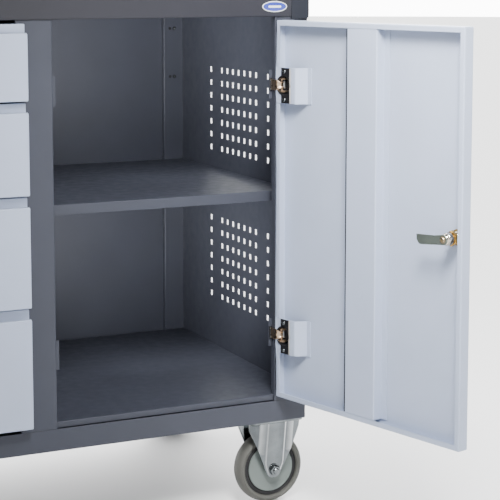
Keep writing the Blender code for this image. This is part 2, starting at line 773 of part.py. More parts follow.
def make_drawers(frame):
    overlay = (DOOR_W - BAY_W) / 2
    front_x = (DRAWER_BAY[0] - overlay, DRAWER_BAY[1] + overlay)
    box_x = (DRAWER_BAY[0] + RAIL_W + 0.001, DRAWER_BAY[1] - RAIL_W - 0.001)
    behind = FRONT_BEHIND
    front_y = behind - DOOR_T
    spans = drawer_fronts()
    rails = []
    for number, (low, high) in enumerate(spans, start=1):
        slide = axis_empty(f"drawer_{number}_slide", ((front_x[0] + front_x[1]) / 2, behind, low), frame)
        centre = slide.location
        outline = [
            (behind, low),
            (behind, high),
            (front_y + GRIP_D, high),
            (front_y + GRIP_D, high - GRIP_H),
            (front_y + GRIP_LIP_T[1], high - GRIP_H - 0.004),
            (front_y + GRIP_LIP_T[0], high - GRIP_LIP_H + 0.002),
            (front_y, high - GRIP_LIP_H),
            (front_y, low),
        ]
        local = [(depth - centre.y, height - centre.z) for depth, height in outline]
        half = (front_x[1] - front_x[0]) / 2
        front = prism(f"drawer_front_{number}", local, -half, half, ALONG_X, slide, SILVER_PAINT)
        hollow_front(front, half, high - low)
        box_low, box_high = low + DRAWER_BOX_Z[0], high - DRAWER_BOX_Z[1]
        tray(
            f"drawer_box_{number}",
            (box_x[0] - centre.x, GAP, box_low - centre.z),
            (box_x[1] - centre.x, DRAWER_BOX_D, box_high - centre.z),
            SHEET,
            slide,
            GREY_PAINT,
        )
        middle = (box_low + box_high) / 2
        rails.append((middle - RAIL_H / 2, middle + RAIL_H / 2))
    rail_y = (POST_RETURN + 0.002, DRAWER_BOX_D + 0.010)
    for name, wall, side in (
        ("runner_rack_left", DRAWER_BAY[0], 1),
        ("runner_rack_right", DRAWER_BAY[1], -1),
    ):
        plate = sorted((wall - side * SHEET, wall))
        rack = box(
            name,
            (plate[0], rail_y[0], POST_Z[0] + 0.010),
            (plate[1], rail_y[1], POST_Z[1] - 0.010),
            frame,
            ZINC,
        )
        for low, high in rails:
            across = sorted((wall - side * SHEET / 2, wall + side * RAIL_W))
            join_box(rack, (across[0], rail_y[0] + 0.003, low), (across[1], rail_y[1] - 0.003, high))


# ---- castors, in a frame at the wheel's centre with the bench's axes ----
AXLE_Z = WHEEL_R - CASTOR_H
PLATE_TOP = -AXLE_Z - GAP
PLATE_LOW = PLATE_TOP - PLATE[2]


def leg_outline(top_width, top):
    half = top_width / 2
    return [
        (-half, top),
        (-half, top - 0.012),
        *arc((0.0, 0.0), LEG_LOW_R, 195, 345, 8),
        (half, top - 0.012),
        (half, top),
    ]


def add_legs(fork, top_width, top, top_y, low_y, place=(0, 0, 0)):
    """Two pressed legs that lean in from the fork's crown to the wheel."""
    lean = math.atan2(top_y - low_y, top)
    for side in (-1, 1):
        leg = prism_mesh("leg", leg_outline(top_width, top + 0.002), -LEG_T / 2, LEG_T / 2, ALONG_Y)
        leg.transform(Matrix.Translation((0, side * low_y, 0)) @ Matrix.Rotation(-side * lean, 4, "X"))
        combine(fork, "UNION", leg, place)


def drill_axle(fork, place=(0, 0, 0)):
    hole = cylinder_mesh("axle_hole", AXLE_R + GAP, -0.06, 0.06, TO_Y, 16)
    combine(fork, "DIFFERENCE", hole, place)


def make_wheel(name, wheel):
    half = TYRE_W / 2
    rim_r = 0.0495
    crown = 0.009
    tyre_profile = [
        (rim_r, half - 0.004),
        (rim_r + 0.002, half - 0.001),
        *[
            (WHEEL_R - crown + crown * math.cos(a), (half - 0.001) * math.sin(a))
            for a in [math.radians(d) for d in (72, 36, 0, -36, -72)]
        ],
        (rim_r + 0.002, -half + 0.001),
        (rim_r, -half + 0.004),
    ]
    turned(f"tyre_{name}", tyre_profile, wheel, RUBBER)
    bore = AXLE_R + 2 * GAP
    hub_half = half + 0.0025
    rim = rim_r - GAP
    centre_profile = [
        (bore, hub_half),
        (0.013, hub_half),
        (0.015, half - 0.003),
        (0.042, half - 0.003),
        (rim, half - 0.006),
        (rim, -half + 0.006),
        (0.042, -half + 0.003),
        (0.015, -half + 0.003),
        (0.013, -hub_half),
        (bore, -hub_half),
    ]
    turned(f"wheel_centre_{name}", centre_profile, wheel, WHEEL_PLASTIC, ROUND - 8)


LEG_LOW_Y = TYRE_W / 2 + 0.0070


def make_axle(name, parent, place=(0, 0, 0)):
    """An axle bolt with its head inboard and its nut facing the bench's front."""
    seat = LEG_LOW_Y + 0.0040
    nut_h, head_h, thread = 0.0065, 0.0053, 0.0025
    bolt = cylinder_mesh("bolt", AXLE_R, -seat - nut_h - thread, seat + head_h / 2, TO_Y, 16)
    axle = place_object(f"axle_{name}", bolt, parent, ZINC, place)
    nut = cylinder_mesh("nut", 0.0075, -seat - nut_h, -seat, TO_Y, 6)
    head = cylinder_mesh("head", 0.0075, seat, seat + head_h, TO_Y, 6)
    combine(axle, "UNION", nut, place)
    combine(axle, "UNION", head, place)


def plate_box():
    half_x, half_y = PLATE[0] / 2, PLATE[1] / 2
    return ((-half_x, -half_y, PLATE_LOW), (half_x, half_y, PLATE_TOP))


def make_fixed_castor(name, x, y, frame):
    wheel = axis_empty(f"wheel_{name}_axis", (x, y, AXLE_Z), frame)
    fork_place = (x, y, AXLE_Z)
    fork = place_object(
        f"fork_{name}",
        boxes_mesh("plate", [plate_box()]),
        frame,
        ZINC,
        fork_place,
    )
    add_legs(fork, LEG_TOP_W, PLATE_LOW, 0.037, LEG_LOW_Y, fork_place)
    drill_axle(fork, fork_place)
    make_wheel(name, wheel)
    make_axle(name, frame, fork_place)


def make_swivel_castor(name, x, y, frame):
    """The wheel trails behind the swivel axis, towards the middle of the bench."""
    crown_top = PLATE_LOW - 0.0125
    top_mesh = boxes_mesh("plate", [plate_box()])
    place = (x, y, AXLE_Z)
    plate = place_object(f"swivel_plate_{name}", top_mesh, frame, ZINC, place)
    race = cylinder_mesh("race", 0.027, crown_top + 0.0008, PLATE_LOW + 0.001, ALONG_Z, 24)
    combine(plate, "UNION", race, place)

    swivel = axis_empty(f"swivel_{name}_axis", place, frame)
    crown_low = crown_top - 0.005
    fork = place_object(
        f"fork_{name}", cylinder_mesh("crown", 0.032, crown_low, crown_top, ALONG_Z, 32), swivel, ZINC
    )
    bridge = [((0.0, -0.026, crown_low), (TRAIL + 0.040, 0.026, crown_top))]
    combine(fork, "UNION", boxes_mesh("bridge", bridge))
    add_legs(fork, 0.056, crown_low, 0.0240, LEG_LOW_Y, (TRAIL, 0.0, 0.0))
    drill_axle(fork, (TRAIL, 0.0, 0.0))
    wheel = axis_empty(f"wheel_{name}_axis", (TRAIL, 0.0, 0.0), swivel)
    make_wheel(name, wheel)
    make_axle(name, swivel, (TRAIL, 0.0, 0.0))

    # The brake pedal turns on a pin between two cheeks at the fork's rear, above the tread.
    hinge = Vector((TRAIL + 0.041, 0.0, 0.060))
    cheek_x = (TRAIL + 0.035, hinge.x + 0.005)
    for side in (-1, 1):
        inner, outer = sorted((side * 0.0150, side * 0.0180))
        join_box(fork, (cheek_x[0], inner, hinge.z - 0.005), (cheek_x[1], outer, crown_low + 0.001))
    pin = cylinder_mesh("pin", PIN_R, -0.0165, 0.0165, TO_Y, 12)
    combine(fork, "UNION", pin, hinge)
    brake = axis_empty(f"brake_{name}_axis", hinge, swivel)
    boss = 0.0040
    pedal = [*arc((0.0, 0.0), boss, 90, 270, 8), (0.034, -0.001), (0.046, -0.006)]
    pedal += [(0.048, -0.002), (0.036, 0.005)]
    lever = prism(f"brake_pedal_{name}", pedal, -0.014, 0.014, ALONG_Y, brake, PEDAL_RED)
    combine(lever, "DIFFERENCE", cylinder_mesh("bore", PIN_R + 0.0001, -0.02, 0.02, TO_Y, 12))


# ---- the whole bench ----
def make_bench():
    frame = axis_empty("bench_frame", BENCH_ORIGIN)
    tray("base_tray", (LEFT, 0.0, 0.0), (RIGHT, BODY_D, TRAY_H), TRAY_SHEET, frame, GREY_PAINT)
    make_posts(frame)
    make_panels(frame)
    make_boards(frame)
    make_top(frame)

    door = axis_empty("door_axis", (PIVOT.x, PIVOT.y, 0.0), frame, DOOR_ANGLE)
    cam = axis_empty("cam_axis", (from_edge(LOCK_T), 0.0, LOCK_Z), door)
    make_door(door)
    for name, height in zip(("lower", "upper"), HINGE_Z):
        make_hinge(name, height, door, frame)
    make_lock(door, cam)
    make_drawers(frame)

    front_y = PLATE_INSET_Y + PLATE[1] / 2
    back_y = BODY_D - front_y
    for end, y in (("front", front_y), ("rear", back_y)):
        make_fixed_castor(f"{end}_right", RIGHT - PLATE[0] / 2, y, frame)
        make_swivel_castor(f"{end}_left", LEFT + PLATE[0] / 2 + 0.004, y, frame)


make_bench()
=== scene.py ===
import json
import math

import bmesh
import bpy
from mathutils import Matrix, Vector


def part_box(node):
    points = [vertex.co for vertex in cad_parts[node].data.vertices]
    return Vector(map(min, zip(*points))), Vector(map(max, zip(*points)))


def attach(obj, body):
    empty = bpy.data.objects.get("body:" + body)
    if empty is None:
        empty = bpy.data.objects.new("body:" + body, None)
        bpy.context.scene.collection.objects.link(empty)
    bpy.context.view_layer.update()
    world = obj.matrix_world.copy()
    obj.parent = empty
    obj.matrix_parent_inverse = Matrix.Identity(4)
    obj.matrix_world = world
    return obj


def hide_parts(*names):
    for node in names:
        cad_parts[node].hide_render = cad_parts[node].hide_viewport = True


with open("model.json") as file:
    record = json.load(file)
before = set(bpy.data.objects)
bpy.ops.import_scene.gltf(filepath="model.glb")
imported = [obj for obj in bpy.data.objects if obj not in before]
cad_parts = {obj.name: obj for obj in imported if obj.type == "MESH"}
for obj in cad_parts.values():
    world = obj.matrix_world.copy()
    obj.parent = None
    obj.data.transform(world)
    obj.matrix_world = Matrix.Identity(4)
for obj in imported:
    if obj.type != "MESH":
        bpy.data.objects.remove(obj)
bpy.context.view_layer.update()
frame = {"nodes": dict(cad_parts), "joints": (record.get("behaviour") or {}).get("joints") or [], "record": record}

# ---- driving dimensions (metres) ----
GAP = 0.0003
FOLD_R = 0.0020  # outer radius of a folded sheet edge
RIM_R = 0.0003  # broken edge of a cut sheet
POST_W = 0.060
TYRE_W = 0.032

# ---- places read from the frame ----
JOINTS = {joint["name"]: joint for joint in frame["joints"]}


def middle_of(node):
    low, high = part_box(node)
    return (low + high) / 2


# Bench frame: X = 0 at the centre post's cupboard side, Y = 0 at the tray's front, Z = 0 under it.
TRAY_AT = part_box("base_tray")[0]
ORIGIN = Vector((middle_of("partition").x + POST_W / 2, TRAY_AT.y, TRAY_AT.z))
BENCH = Matrix.Translation(ORIGIN)

# Door frame: x from the hinge axis to the free edge, y outwards through the skin.
OUTWARDS = Vector(JOINTS["cam_turn"]["axis"]).normalized()
ALONG_DOOR = OUTWARDS.cross(Vector((0, 0, 1)))
HINGE_AT = Vector(JOINTS["door_hinge"]["pos_m"])
DOOR_AXES = Matrix((ALONG_DOOR, OUTWARDS, (0, 0, 1))).transposed().to_4x4()
DOOR = Matrix.Translation((HINGE_AT.x, HINGE_AT.y, ORIGIN.z)) @ DOOR_AXES


# ---- materials ----
def new_material(name, colour, roughness, metallic=0.0, **sockets):
    made = bpy.data.materials.new(name)
    made.use_nodes = True
    shader = made.node_tree.nodes["Principled BSDF"]
    shader.inputs["Base Color"].default_value = (*colour, 1.0)
    shader.inputs["Roughness"].default_value = roughness
    shader.inputs["Metallic"].default_value = metallic
    for key, value in sockets.items():
        shader.inputs[key.replace("_", " ")].default_value = value
    made.diffuse_color = (*colour, 1.0)
    return made


def node(made, kind, **values):
    """A shader node with its input sockets or its properties set by name."""
    new = made.node_tree.nodes.new(kind)
    for key, value in values.items():
        socket = key.replace("_", " ")
        if socket in new.inputs:
            new.inputs[socket].default_value = value
        else:
            setattr(new, key, value)
    return new


def link(made, source, target):
    made.node_tree.links.new(source, target)


def shader_of(made):
    return made.node_tree.nodes["Principled BSDF"]


def local_place(made, scale=(1, 1, 1)):
    """The piece's own coordinates in metres, stretched."""
    place = node(made, "ShaderNodeTexCoord")
    mapping = node(made, "ShaderNodeMapping")
    mapping.inputs["Scale"].default_value = scale
    link(made, place.outputs["Object"], mapping.inputs["Vector"])
    return mapping.outputs["Vector"]


def noise(made, scale, detail=2.0, stretch=(1, 1, 1)):
    tex = node(made, "ShaderNodeTexNoise", Scale=scale, Detail=detail)
    link(made, local_place(made, stretch), tex.inputs["Vector"])
    return tex.outputs["Fac"]


def ramp(made, factor, stops):
    """A colour ramp over (position, colour) stops; a bare number is a grey."""
    new = node(made, "ShaderNodeValToRGB")
    elements = new.color_ramp.elements
    while len(elements) < len(stops):
        elements.new(0.5)
    for element, (position, colour) in zip(elements, stops):
        element.position = position
        if not isinstance(colour, tuple):
            colour = (colour,) * 3
        element.color = (*colour, 1.0)
    link(made, factor, new.inputs["Fac"])
    return new.outputs["Color"]


def calculate(made, operation, *values):
    """A maths node over numbers and other nodes' outputs."""
    new = node(made, "ShaderNodeMath", operation=operation)
    for socket, value in zip(new.inputs, values):
        if isinstance(value, (int, float)):
            socket.default_value = value
        else:
            link(made, value, socket)
    return new.outputs[0]


def ramp_range(made, value):
    """Takes -1 to 1 to a ramp's 0 to 1."""
    return calculate(made, "MULTIPLY_ADD", value, 0.5, 0.5)


def mixed(made, factor, first, second, blend="MIX"):
    """Two colours mixed; a tuple is a fixed colour, and anything else is another node's output."""
    mix = node(made, "ShaderNodeMix", data_type="RGBA", blend_type=blend)
    # Sockets 6 and 7 are the two colours, and output 2 is their mix.
    sockets = (mix.inputs["Factor"], mix.inputs[6], mix.inputs[7])
    for socket, value in zip(sockets, (factor, first, second)):
        if isinstance(value, tuple):
            socket.default_value = (*value, 1.0)
        elif isinstance(value, float):
            socket.default_value = value
        else:
            link(made, value, socket)
    return mix.outputs[2]


def tint(colour, factor):
    return tuple(min(1.0, channel * factor) for channel in colour)


def add_bump(made, height, distance, strength=1.0, below=None):
    bump = node(made, "ShaderNodeBump", Strength=strength, Distance=distance)
    link(made, height, bump.inputs["Height"])
    if below is not None:
        link(made, below, bump.inputs["Normal"])
    return bump.outputs["Normal"]


def vary(made, colour, spread, scale, stretch=(1, 1, 1)):
    """Soft blotches round the base colour."""
    shade = ramp(
        made,
        noise(made, scale, 4.0, stretch),
        [(0.30, tint(colour, 1 - spread)), (0.70, tint(colour, 1 + spread))],
    )
    link(made, shade, shader_of(made).inputs["Base Color"])


def vary_roughness(made, low, high, scale, stretch=(1, 1, 1)):
    shade = ramp(made, noise(made, scale, 3.0, stretch), [(0.30, low), (0.70, high)])
    link(made, shade, shader_of(made).inputs["Roughness"])


def powder_coat(name, colour, roughness, grain=0.00006, spread=0.05):
    """Fine textured powder coat: orange peel over a slow unevenness."""
    gloss = {"Coat_Weight": 0.03, "Coat_Roughness": 0.25, "Specular_IOR_Level": 0.3}
    made = new_material(name, colour, roughness, **gloss)
    vary(made, colour, spread, 14.0)
    vary_roughness(made, roughness - 0.05, roughness + 0.06, 60.0)
    peel = add_bump(made, noise(made, 900.0, 2.0), grain, 0.6)
    waves = add_bump(made, noise(made, 55.0, 1.0), 0.00025, 0.25, peel)
    link(made, waves, shader_of(made).inputs["Normal"])
    return made


def plated(name, colour, roughness, spread=0.08, stretch=(1, 1, 1), lines=0.5):
    """Plated or bare metal with soft tarnish and fine drawing lines."""
    made = new_material(name, colour, roughness, 1.0)
    vary(made, colour, spread, 45.0)
    vary_roughness(made, roughness - 0.07, roughness + 0.10, 130.0, stretch)
    drawn = add_bump(made, noise(made, 700.0, 2.0, stretch), 0.00004, lines)
    link(made, drawn, shader_of(made).inputs["Normal"])
    return made


def paint_crease_highlights(made, bright):
    """Paints highlights into a plated metal's colour, along the ribs and creases of the pieces that carry a
    highlight weight.
    """
    mark = node(made, "ShaderNodeAttribute", attribute_name="painted_highlight")
    base = shader_of(made).inputs["Base Color"]
    link(made, mixed(made, mark.outputs["Fac"], base.links[0].from_socket, bright), base)


def moulded(name, colour, roughness, grain=0.00003, spread=0.04):
    """Moulded plastic or rubber with a fine matt grain."""
    made = new_material(name, colour, roughness, Specular_IOR_Level=0.3)
    vary(made, colour, spread, 35.0)
    vary_roughness(made, roughness - 0.06, roughness + 0.06, 220.0)
    grains = add_bump(made, noise(made, 1600.0, 1.0), grain, 0.7)
    link(made, grains, shader_of(made).inputs["Normal"])
    return made


GREY_PAINT = powder_coat("grey_paint", (0.045, 0.049, 0.065), 0.42)
BAND_PAINT = powder_coat("band_paint", (0.023, 0.023, 0.030), 0.42)
SILVER_PAINT = powder_coat("silver_paint", (0.405, 0.462, 0.595), 0.40, spread=0.025)
DARK_PLASTIC = moulded("dark_plastic", (0.012, 0.014, 0.021), 0.50)
ZINC = plated("zinc_plate", (0.165, 0.180, 0.187), 0.17, 0.16, (1, 1, 0.12), 0.10)
# Painted highlights on the castor legs' ribs and creases.
paint_crease_highlights(ZINC, (0.90, 0.92, 0.92))
BLACK_STEEL = powder_coat("black_steel", (0.012, 0.012, 0.014), 0.38, 0.00003)
COPPER = plated("copper_plate", (0.62, 0.46, 0.32), 0.28, lines=0.25)
BRASS = plated("brass", (0.62, 0.38, 0.11), 0.22, lines=0.2)
LEVER_STEEL = plated("lever_steel", (0.20, 0.225, 0.185), 0.34)
SCREW_BRASS = plated("screw_brass", (0.30, 0.24, 0.15), 0.28, lines=0.2)
RUBBER = moulded("grey_rubber", (0.100, 0.100, 0.090), 0.60, 0.00006, 0.08)
WHEEL_PLASTIC = moulded("wheel_plastic", (0.155, 0.182, 0.172), 0.45)
RIM_BLACK = moulded("rim_black", (0.016, 0.016, 0.017), 0.50)
BLUE = (0.040, 0.060, 0.34)
BADGE_BLUE = new_material("badge_blue", BLUE, 0.22, Coat_Weight=0.6)
vary(BADGE_BLUE, BLUE, 0.06, 120.0)
BADGE_RIM = new_material("badge_rim", (0.72, 0.73, 0.75), 0.28)
PEDAL_RED = powder_coat("pedal_red", (0.46, 0.030, 0.022), 0.38)
# Near-black for painted shade: the shadow line along the stiffener and the inside of each flange hole.
PAINTED_SHADE = moulded("painted_shade", (0.012, 0.012, 0.013), 0.80)
CHROME = plated("chrome", (0.62, 0.56, 0.46), 0.12, 0.05, lines=0.1)
ZINC_DULL = plated("zinc_dull", (0.50, 0.53, 0.57), 0.38)
INSERT = moulded("insert", (0.42, 0.40, 0.36), 0.50)


PLY_T = 0.0021  # one ply of the worktop's board


def beech_multiplex():
    """Beech plywood board: long grain on its two faces and thin plies round its edges."""
    light, dark = (0.60, 0.39, 0.21), (0.42, 0.245, 0.115)
    made = new_material("beech_multiplex", light, 0.42, Coat_Weight=0.25, Coat_Roughness=0.22)
    # Long grain along X, with the short dark flecks of beech.
    grain = noise(made, 60.0, 8.0, (0.10, 1.0, 1.0))
    face = ramp(made, grain, [(0.32, tint(light, 0.84)), (0.55, light), (0.74, tint(light, 1.10))])
    fleck = noise(made, 520.0, 2.0, (0.14, 1.0, 1.0))
    fleck_mask = ramp(made, fleck, [(0.60, 0.0), (0.68, 1.0)])
    flecked = mixed(made, fleck_mask, face, tint(light, 0.70))
    # Plies: light and dark by turns over the height, a little wavy.
    split = node(made, "ShaderNodeSeparateXYZ")
    link(made, local_place(made), split.inputs["Vector"])
    wobble = noise(made, 9.0, 2.0, (1.0, 1.0, 4.0))
    height = calculate(made, "MULTIPLY_ADD", wobble, 0.0010, split.outputs["Z"])
    wave = calculate(made, "SINE", calculate(made, "MULTIPLY", height, math.pi / PLY_T))
    plies = ramp(made, ramp_range(made, wave), [(0.32, dark), (0.62, tint(light, 0.92))])
    pores = ramp(made, noise(made, 900.0, 3.0, (0.35, 0.35, 1.0)), [(0.35, 0.72), (0.62, 1.0)])
    edge = mixed(made, 0.6, plies, pores, "MULTIPLY")
    # The faces look up or down, and the edges sideways.
    coords = node(made, "ShaderNodeTexCoord")
    normal = node(made, "ShaderNodeSeparateXYZ")
    link(made, coords.outputs["Normal"], normal.inputs["Vector"])
    upright = calculate(made, "ABSOLUTE", normal.outputs["Z"])
    choice = ramp(made, upright, [(0.55, 0.0), (0.75, 1.0)])
    shader = shader_of(made)
    link(made, mixed(made, choice, edge, flecked), shader.inputs["Base Color"])
    link(made, ramp(made, grain, [(0.3, 0.50), (0.7, 0.36)]), shader.inputs["Roughness"])
    raised = add_bump(made, grain, 0.0003, 0.25)
    link(made, add_bump(made, fleck, 0.0001, 0.3, raised), shader.inputs["Normal"])
    return made


BEECH = beech_multiplex()


# A local Z axis turned to +Y, -Y or -Z of the frame that a piece is built in, and Z mirrored.
STRAIGHT = Matrix.Identity(4)
TO_Y = Matrix.Rotation(-math.pi / 2, 4, "X")
TO_BACK = Matrix.Rotation(math.pi / 2, 4, "X")
DOWN = Matrix.Rotation(math.pi, 4, "X")
MIRROR_Z = DOWN @ Matrix.Diagonal((1, -1, 1, 1))
SWAP_YZ = Matrix(((1, 0, 0, 0), (0, 0, 1, 0), (0, 1, 0, 0), (0, 0, 0, 1)))


def move(*place):
    return Matrix.Translation(place)


def smooth_step(share):
    share = max(0.0, min(1.0, share))
    return share * share * (3 - 2 * share)


# ---- mesh helpers: each adds a closed shape to a bmesh ----
def add_block(bm, low, high, radius, segments=2, at=STRAIGHT):
    """A block with rounded edges."""
    low, high = Vector(low), Vector(high)
    size = Matrix.Diagonal((*(high - low), 1.0))
    verts = bmesh.ops.create_cube(bm, size=1.0, matrix=move(*(low + high) / 2) @ size)["verts"]
    radius = min(radius, 0.49 * min(high - low))
    edges = list({edge for vert in verts for edge in vert.link_edges})
    bevel = {"offset": radius, "segments": segments, "profile": 0.5, "affect": "EDGES"}
    made = bmesh.ops.bevel(bm, geom=edges, **bevel)
    kept = {vert for vert in verts if vert.is_valid}
    kept.update(vert for face in made["faces"] for vert in face.verts)
    bmesh.ops.transform(bm, matrix=at, verts=list(kept))


def add_rings(bm, rings, at, closed=False):
    """Skins a list of equal rings of points. Open ends are capped."""
    rows = [[bm.verts.new(at @ Vector(point)) for point in ring] for ring in rings]
    pairs = list(zip(rows, rows[1:]))
    if closed:
        pairs.append((rows[-1], rows[0]))
    count = len(rows[0])
    for near, far in pairs:
        for k in range(count):
            bm.faces.new((near[k], near[(k + 1) % count], far[(k + 1) % count], far[k]))
    if not closed:
        bm.faces.new(reversed(rows[0]))
        bm.faces.new(rows[-1])


def circle(radius, height, steps, turn=0.0):
    angles = [turn + 2 * math.pi * k / steps for k in range(steps)]
    return [(radius * math.cos(a), radius * math.sin(a), height) for a in angles]


def add_turned(bm, profile, at, steps=48, closed=False):
    """A (radius, height) profile turned about the local Z axis."""
    add_rings(bm, [circle(radius, height, steps) for radius, height in profile], at, closed)


def rounded(points, radii, steps=4, cyclic=False):
    """A flat path with its corners rounded. radii is one number, or one for each point."""
    count = len(points)
    if not isinstance(radii, (list, tuple)):
        radii = [radii] * count
    path = []
    for k, point in enumerate(points):
        point = Vector(point)
        if (not cyclic and k in (0, count - 1)) or radii[k] <= 0:
            path.append(point)
            continue
        before = Vector(points[k - 1]) - point
        after = Vector(points[(k + 1) % count]) - point
        turn = before.angle(after)
        if turn > math.pi - 0.01:
            path.append(point)
            continue
        reach = min(radii[k] / math.tan(turn / 2), 0.49 * before.length, 0.49 * after.length)
        radius = reach * math.tan(turn / 2)
        before.normalize()
        after.normalize()
        centre = point + (before + after).normalized() * (radius / math.sin(turn / 2))
        first = point + before * reach - centre
        last = point + after * reach - centre
        for step in range(steps + 1):
            spoke = first.lerp(last, step / steps)
            path.append(centre + spoke.normalized() * radius)
    return path


def offset_path(path, distance):
    """The path moved sideways, to its left, by distance."""
    moved = []
    for k, point in enumerate(path):
        before = (point - path[k - 1]).normalized() if k else None
        after = (path[k + 1] - point).normalized() if k < len(path) - 1 else None
        first = before or after
        last = after or before
        side_a = Vector((-first.y, first.x))
        side_b = Vector((-last.y, last.x))
        middle = (side_a + side_b).normalized()
        moved.append(point + middle * distance / max(0.3, middle.dot(side_a)))
    return moved


def add_slab(bm, outer, inner, start, end, at, rim):
    """A flat plate whose outline draws in to the inner one over a rim at each of its two faces."""
    rows = [(start, inner), (start + rim, outer), (end - rim, outer), (end, inner)]
    add_rings(bm, [[(*point, height) for point in ring] for height, ring in rows], at)


def add_strip(bm, path, thickness, start, end, at, rim):
    """A sheet strip that follows a flat path; its cut sides get a small rim radius."""

    def outline(half):
        return offset_path(path, half) + list(reversed(offset_path(path, -half)))

    add_slab(bm, outline(thickness / 2), outline(thickness / 2 - rim), start, end, at, rim)


def add_hex(bm, across, height, at, bore=0.0):
    """A hexagon nut or bolt head with its corners chamfered; a bore shows as a shallow cup."""
    corner = across / 2 / math.cos(math.pi / 6)
    drop = 0.14 * across / 2

    def ring(scale, level, dip):
        points = []
        for k in range(24):
            angle = 2 * math.pi * k / 24
            turn = (angle + math.pi / 6) % (math.pi / 3) - math.pi / 6
            flat = across / 2 / math.cos(turn)
            share = (flat - across / 2) / (corner - across / 2)
            reach = scale * flat
            points.append((reach * math.cos(angle), reach * math.sin(angle), level - dip * share))
        return points

    rings = [ring(1.0, 0.0, 0.0), ring(1.0, height - 0.0002, drop)]
    rings.append(circle(across / 2 * 0.94, height, 24))
    if bore > 0:
        rings.append(circle(bore * 1.12, height, 24))
        rings.append(circle(bore, height - 0.0006, 24))
        rings.append(circle(bore * 0.9, height - 0.0012, 24))
    add_rings(bm, rings, at)


def add_screw(bm, radius, height, at):
    """A domed screw head on z = 0 with a cross recess sunk in it."""
    width, reach = radius * 0.17, radius * 0.62
    spread = math.atan2(width, reach)
    turns = []
    for quarter in range(4):
        base = quarter * math.pi / 2
        turns += [base - spread, base, base + spread]
        turns += [base + math.radians(d) for d in (30, 45, 60)]

    def hole(angle):
        turn = (angle + math.pi / 4) % (math.pi / 2) - math.pi / 4
        if abs(turn) <= spread + 1e-6:
            return reach / math.cos(turn)
        return width / abs(math.sin(turn))

    def ring(scale, level):
        return [(scale * math.cos(a), scale * math.sin(a), level) for a in turns]

    rings = [ring(radius * 0.97, 0.0), ring(radius, height * 0.25)]
    for rise in (math.radians(30), math.radians(55)):
        across, up = math.cos(rise), math.sin(rise)
        rings.append(ring(radius * (0.35 + 0.65 * across), height * (0.25 + 0.75 * up)))
    # The last ring of the dome encloses the recess.
    rings.append(ring(max(radius * 0.70, reach * 1.08), height * 0.97))
    for shrink, level in ((1.0, 0.99), (0.92, 0.87), (0.62, 0.29)):
        reaches = [(a, shrink * hole(a)) for a in turns]
        rings.append([(r * math.cos(a), r * math.sin(a), height * level) for a, r in reaches])
    add_rings(bm, rings, at)


def add_plate(bm, outline, start, end, at, rim=0.0003):
    """A flat plate whose outline is already rounded; its two faces' edges are broken."""
    path = [Vector(point[:2]) for point in outline]
    count = len(path)
    inner = []
    for k, point in enumerate(path):
        before = (point - path[k - 1]).normalized()
        after = (path[(k + 1) % count] - point).normalized()
        normal = Vector((-(before + after).y, (before + after).x)).normalized()
        inner.append(point + normal * rim)
    add_slab(bm, path, inner, start, end, at, rim)


def rectangle(low, high, radius, steps=5):
    corners = [(low[0], low[1]), (high[0], low[1]), (high[0], high[1]), (low[0], high[1])]
    return rounded(corners, radius, steps, cyclic=True)


def add_object(name, data):
    made = bpy.data.objects.new(name, data)
    bpy.context.scene.collection.objects.link(made)
    return made


def piece(name, body, finish, bm, at=STRAIGHT, replaces=(), smooth=35.0):
    """Closes a bmesh into an object that rides on a CAD body."""
    bmesh.ops.recalc_face_normals(bm, faces=bm.faces)
    mesh = bpy.data.meshes.new(name)
    bm.to_mesh(mesh)
    bm.free()
    mesh.transform(at)
    mesh.shade_smooth()
    mesh.set_sharp_from_angle(angle=math.radians(smooth))
    mesh.materials.append(finish)
    made = add_object(name, mesh)
    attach(made, body)
    if replaces:
        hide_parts(*replaces)


# ---- sheet metal: CAD solids with their folds rounded ----
FLAT = math.radians(1.0)
SHARP = math.radians(28.0)  # a smaller turn between two faces belongs to a curve
THIN = 0.0026  # a face narrower than this is the cut edge of a sheet
INSIDE_R = 0.0005  # inner radius of a fold
BODIES = frame["record"]["behaviour"]["bodies"]
BODY_OF = {member: body for body, members in BODIES.items() for member in members}


def thin_faces(bm):
    """The faces that belong to a flat area narrower than THIN."""
    thin = {}
    for first in bm.faces:
        if first in thin:
            continue
        area, perimeter = 0.0, 0.0
        group, waiting = {first}, [first]
        while waiting:
            face = waiting.pop()
            area += face.calc_area()
            for edge in face.edges:
                others = [other for other in edge.link_faces if other is not face]
                if others and abs(edge.calc_face_angle(0.0)) < FLAT:
                    if others[0] not in group:
                        group.add(others[0])
                        waiting.append(others[0])
                else:
                    perimeter += edge.calc_length()
        for face in group:
            thin[face] = 2 * area / max(1e-9, perimeter) < THIN
    return thin


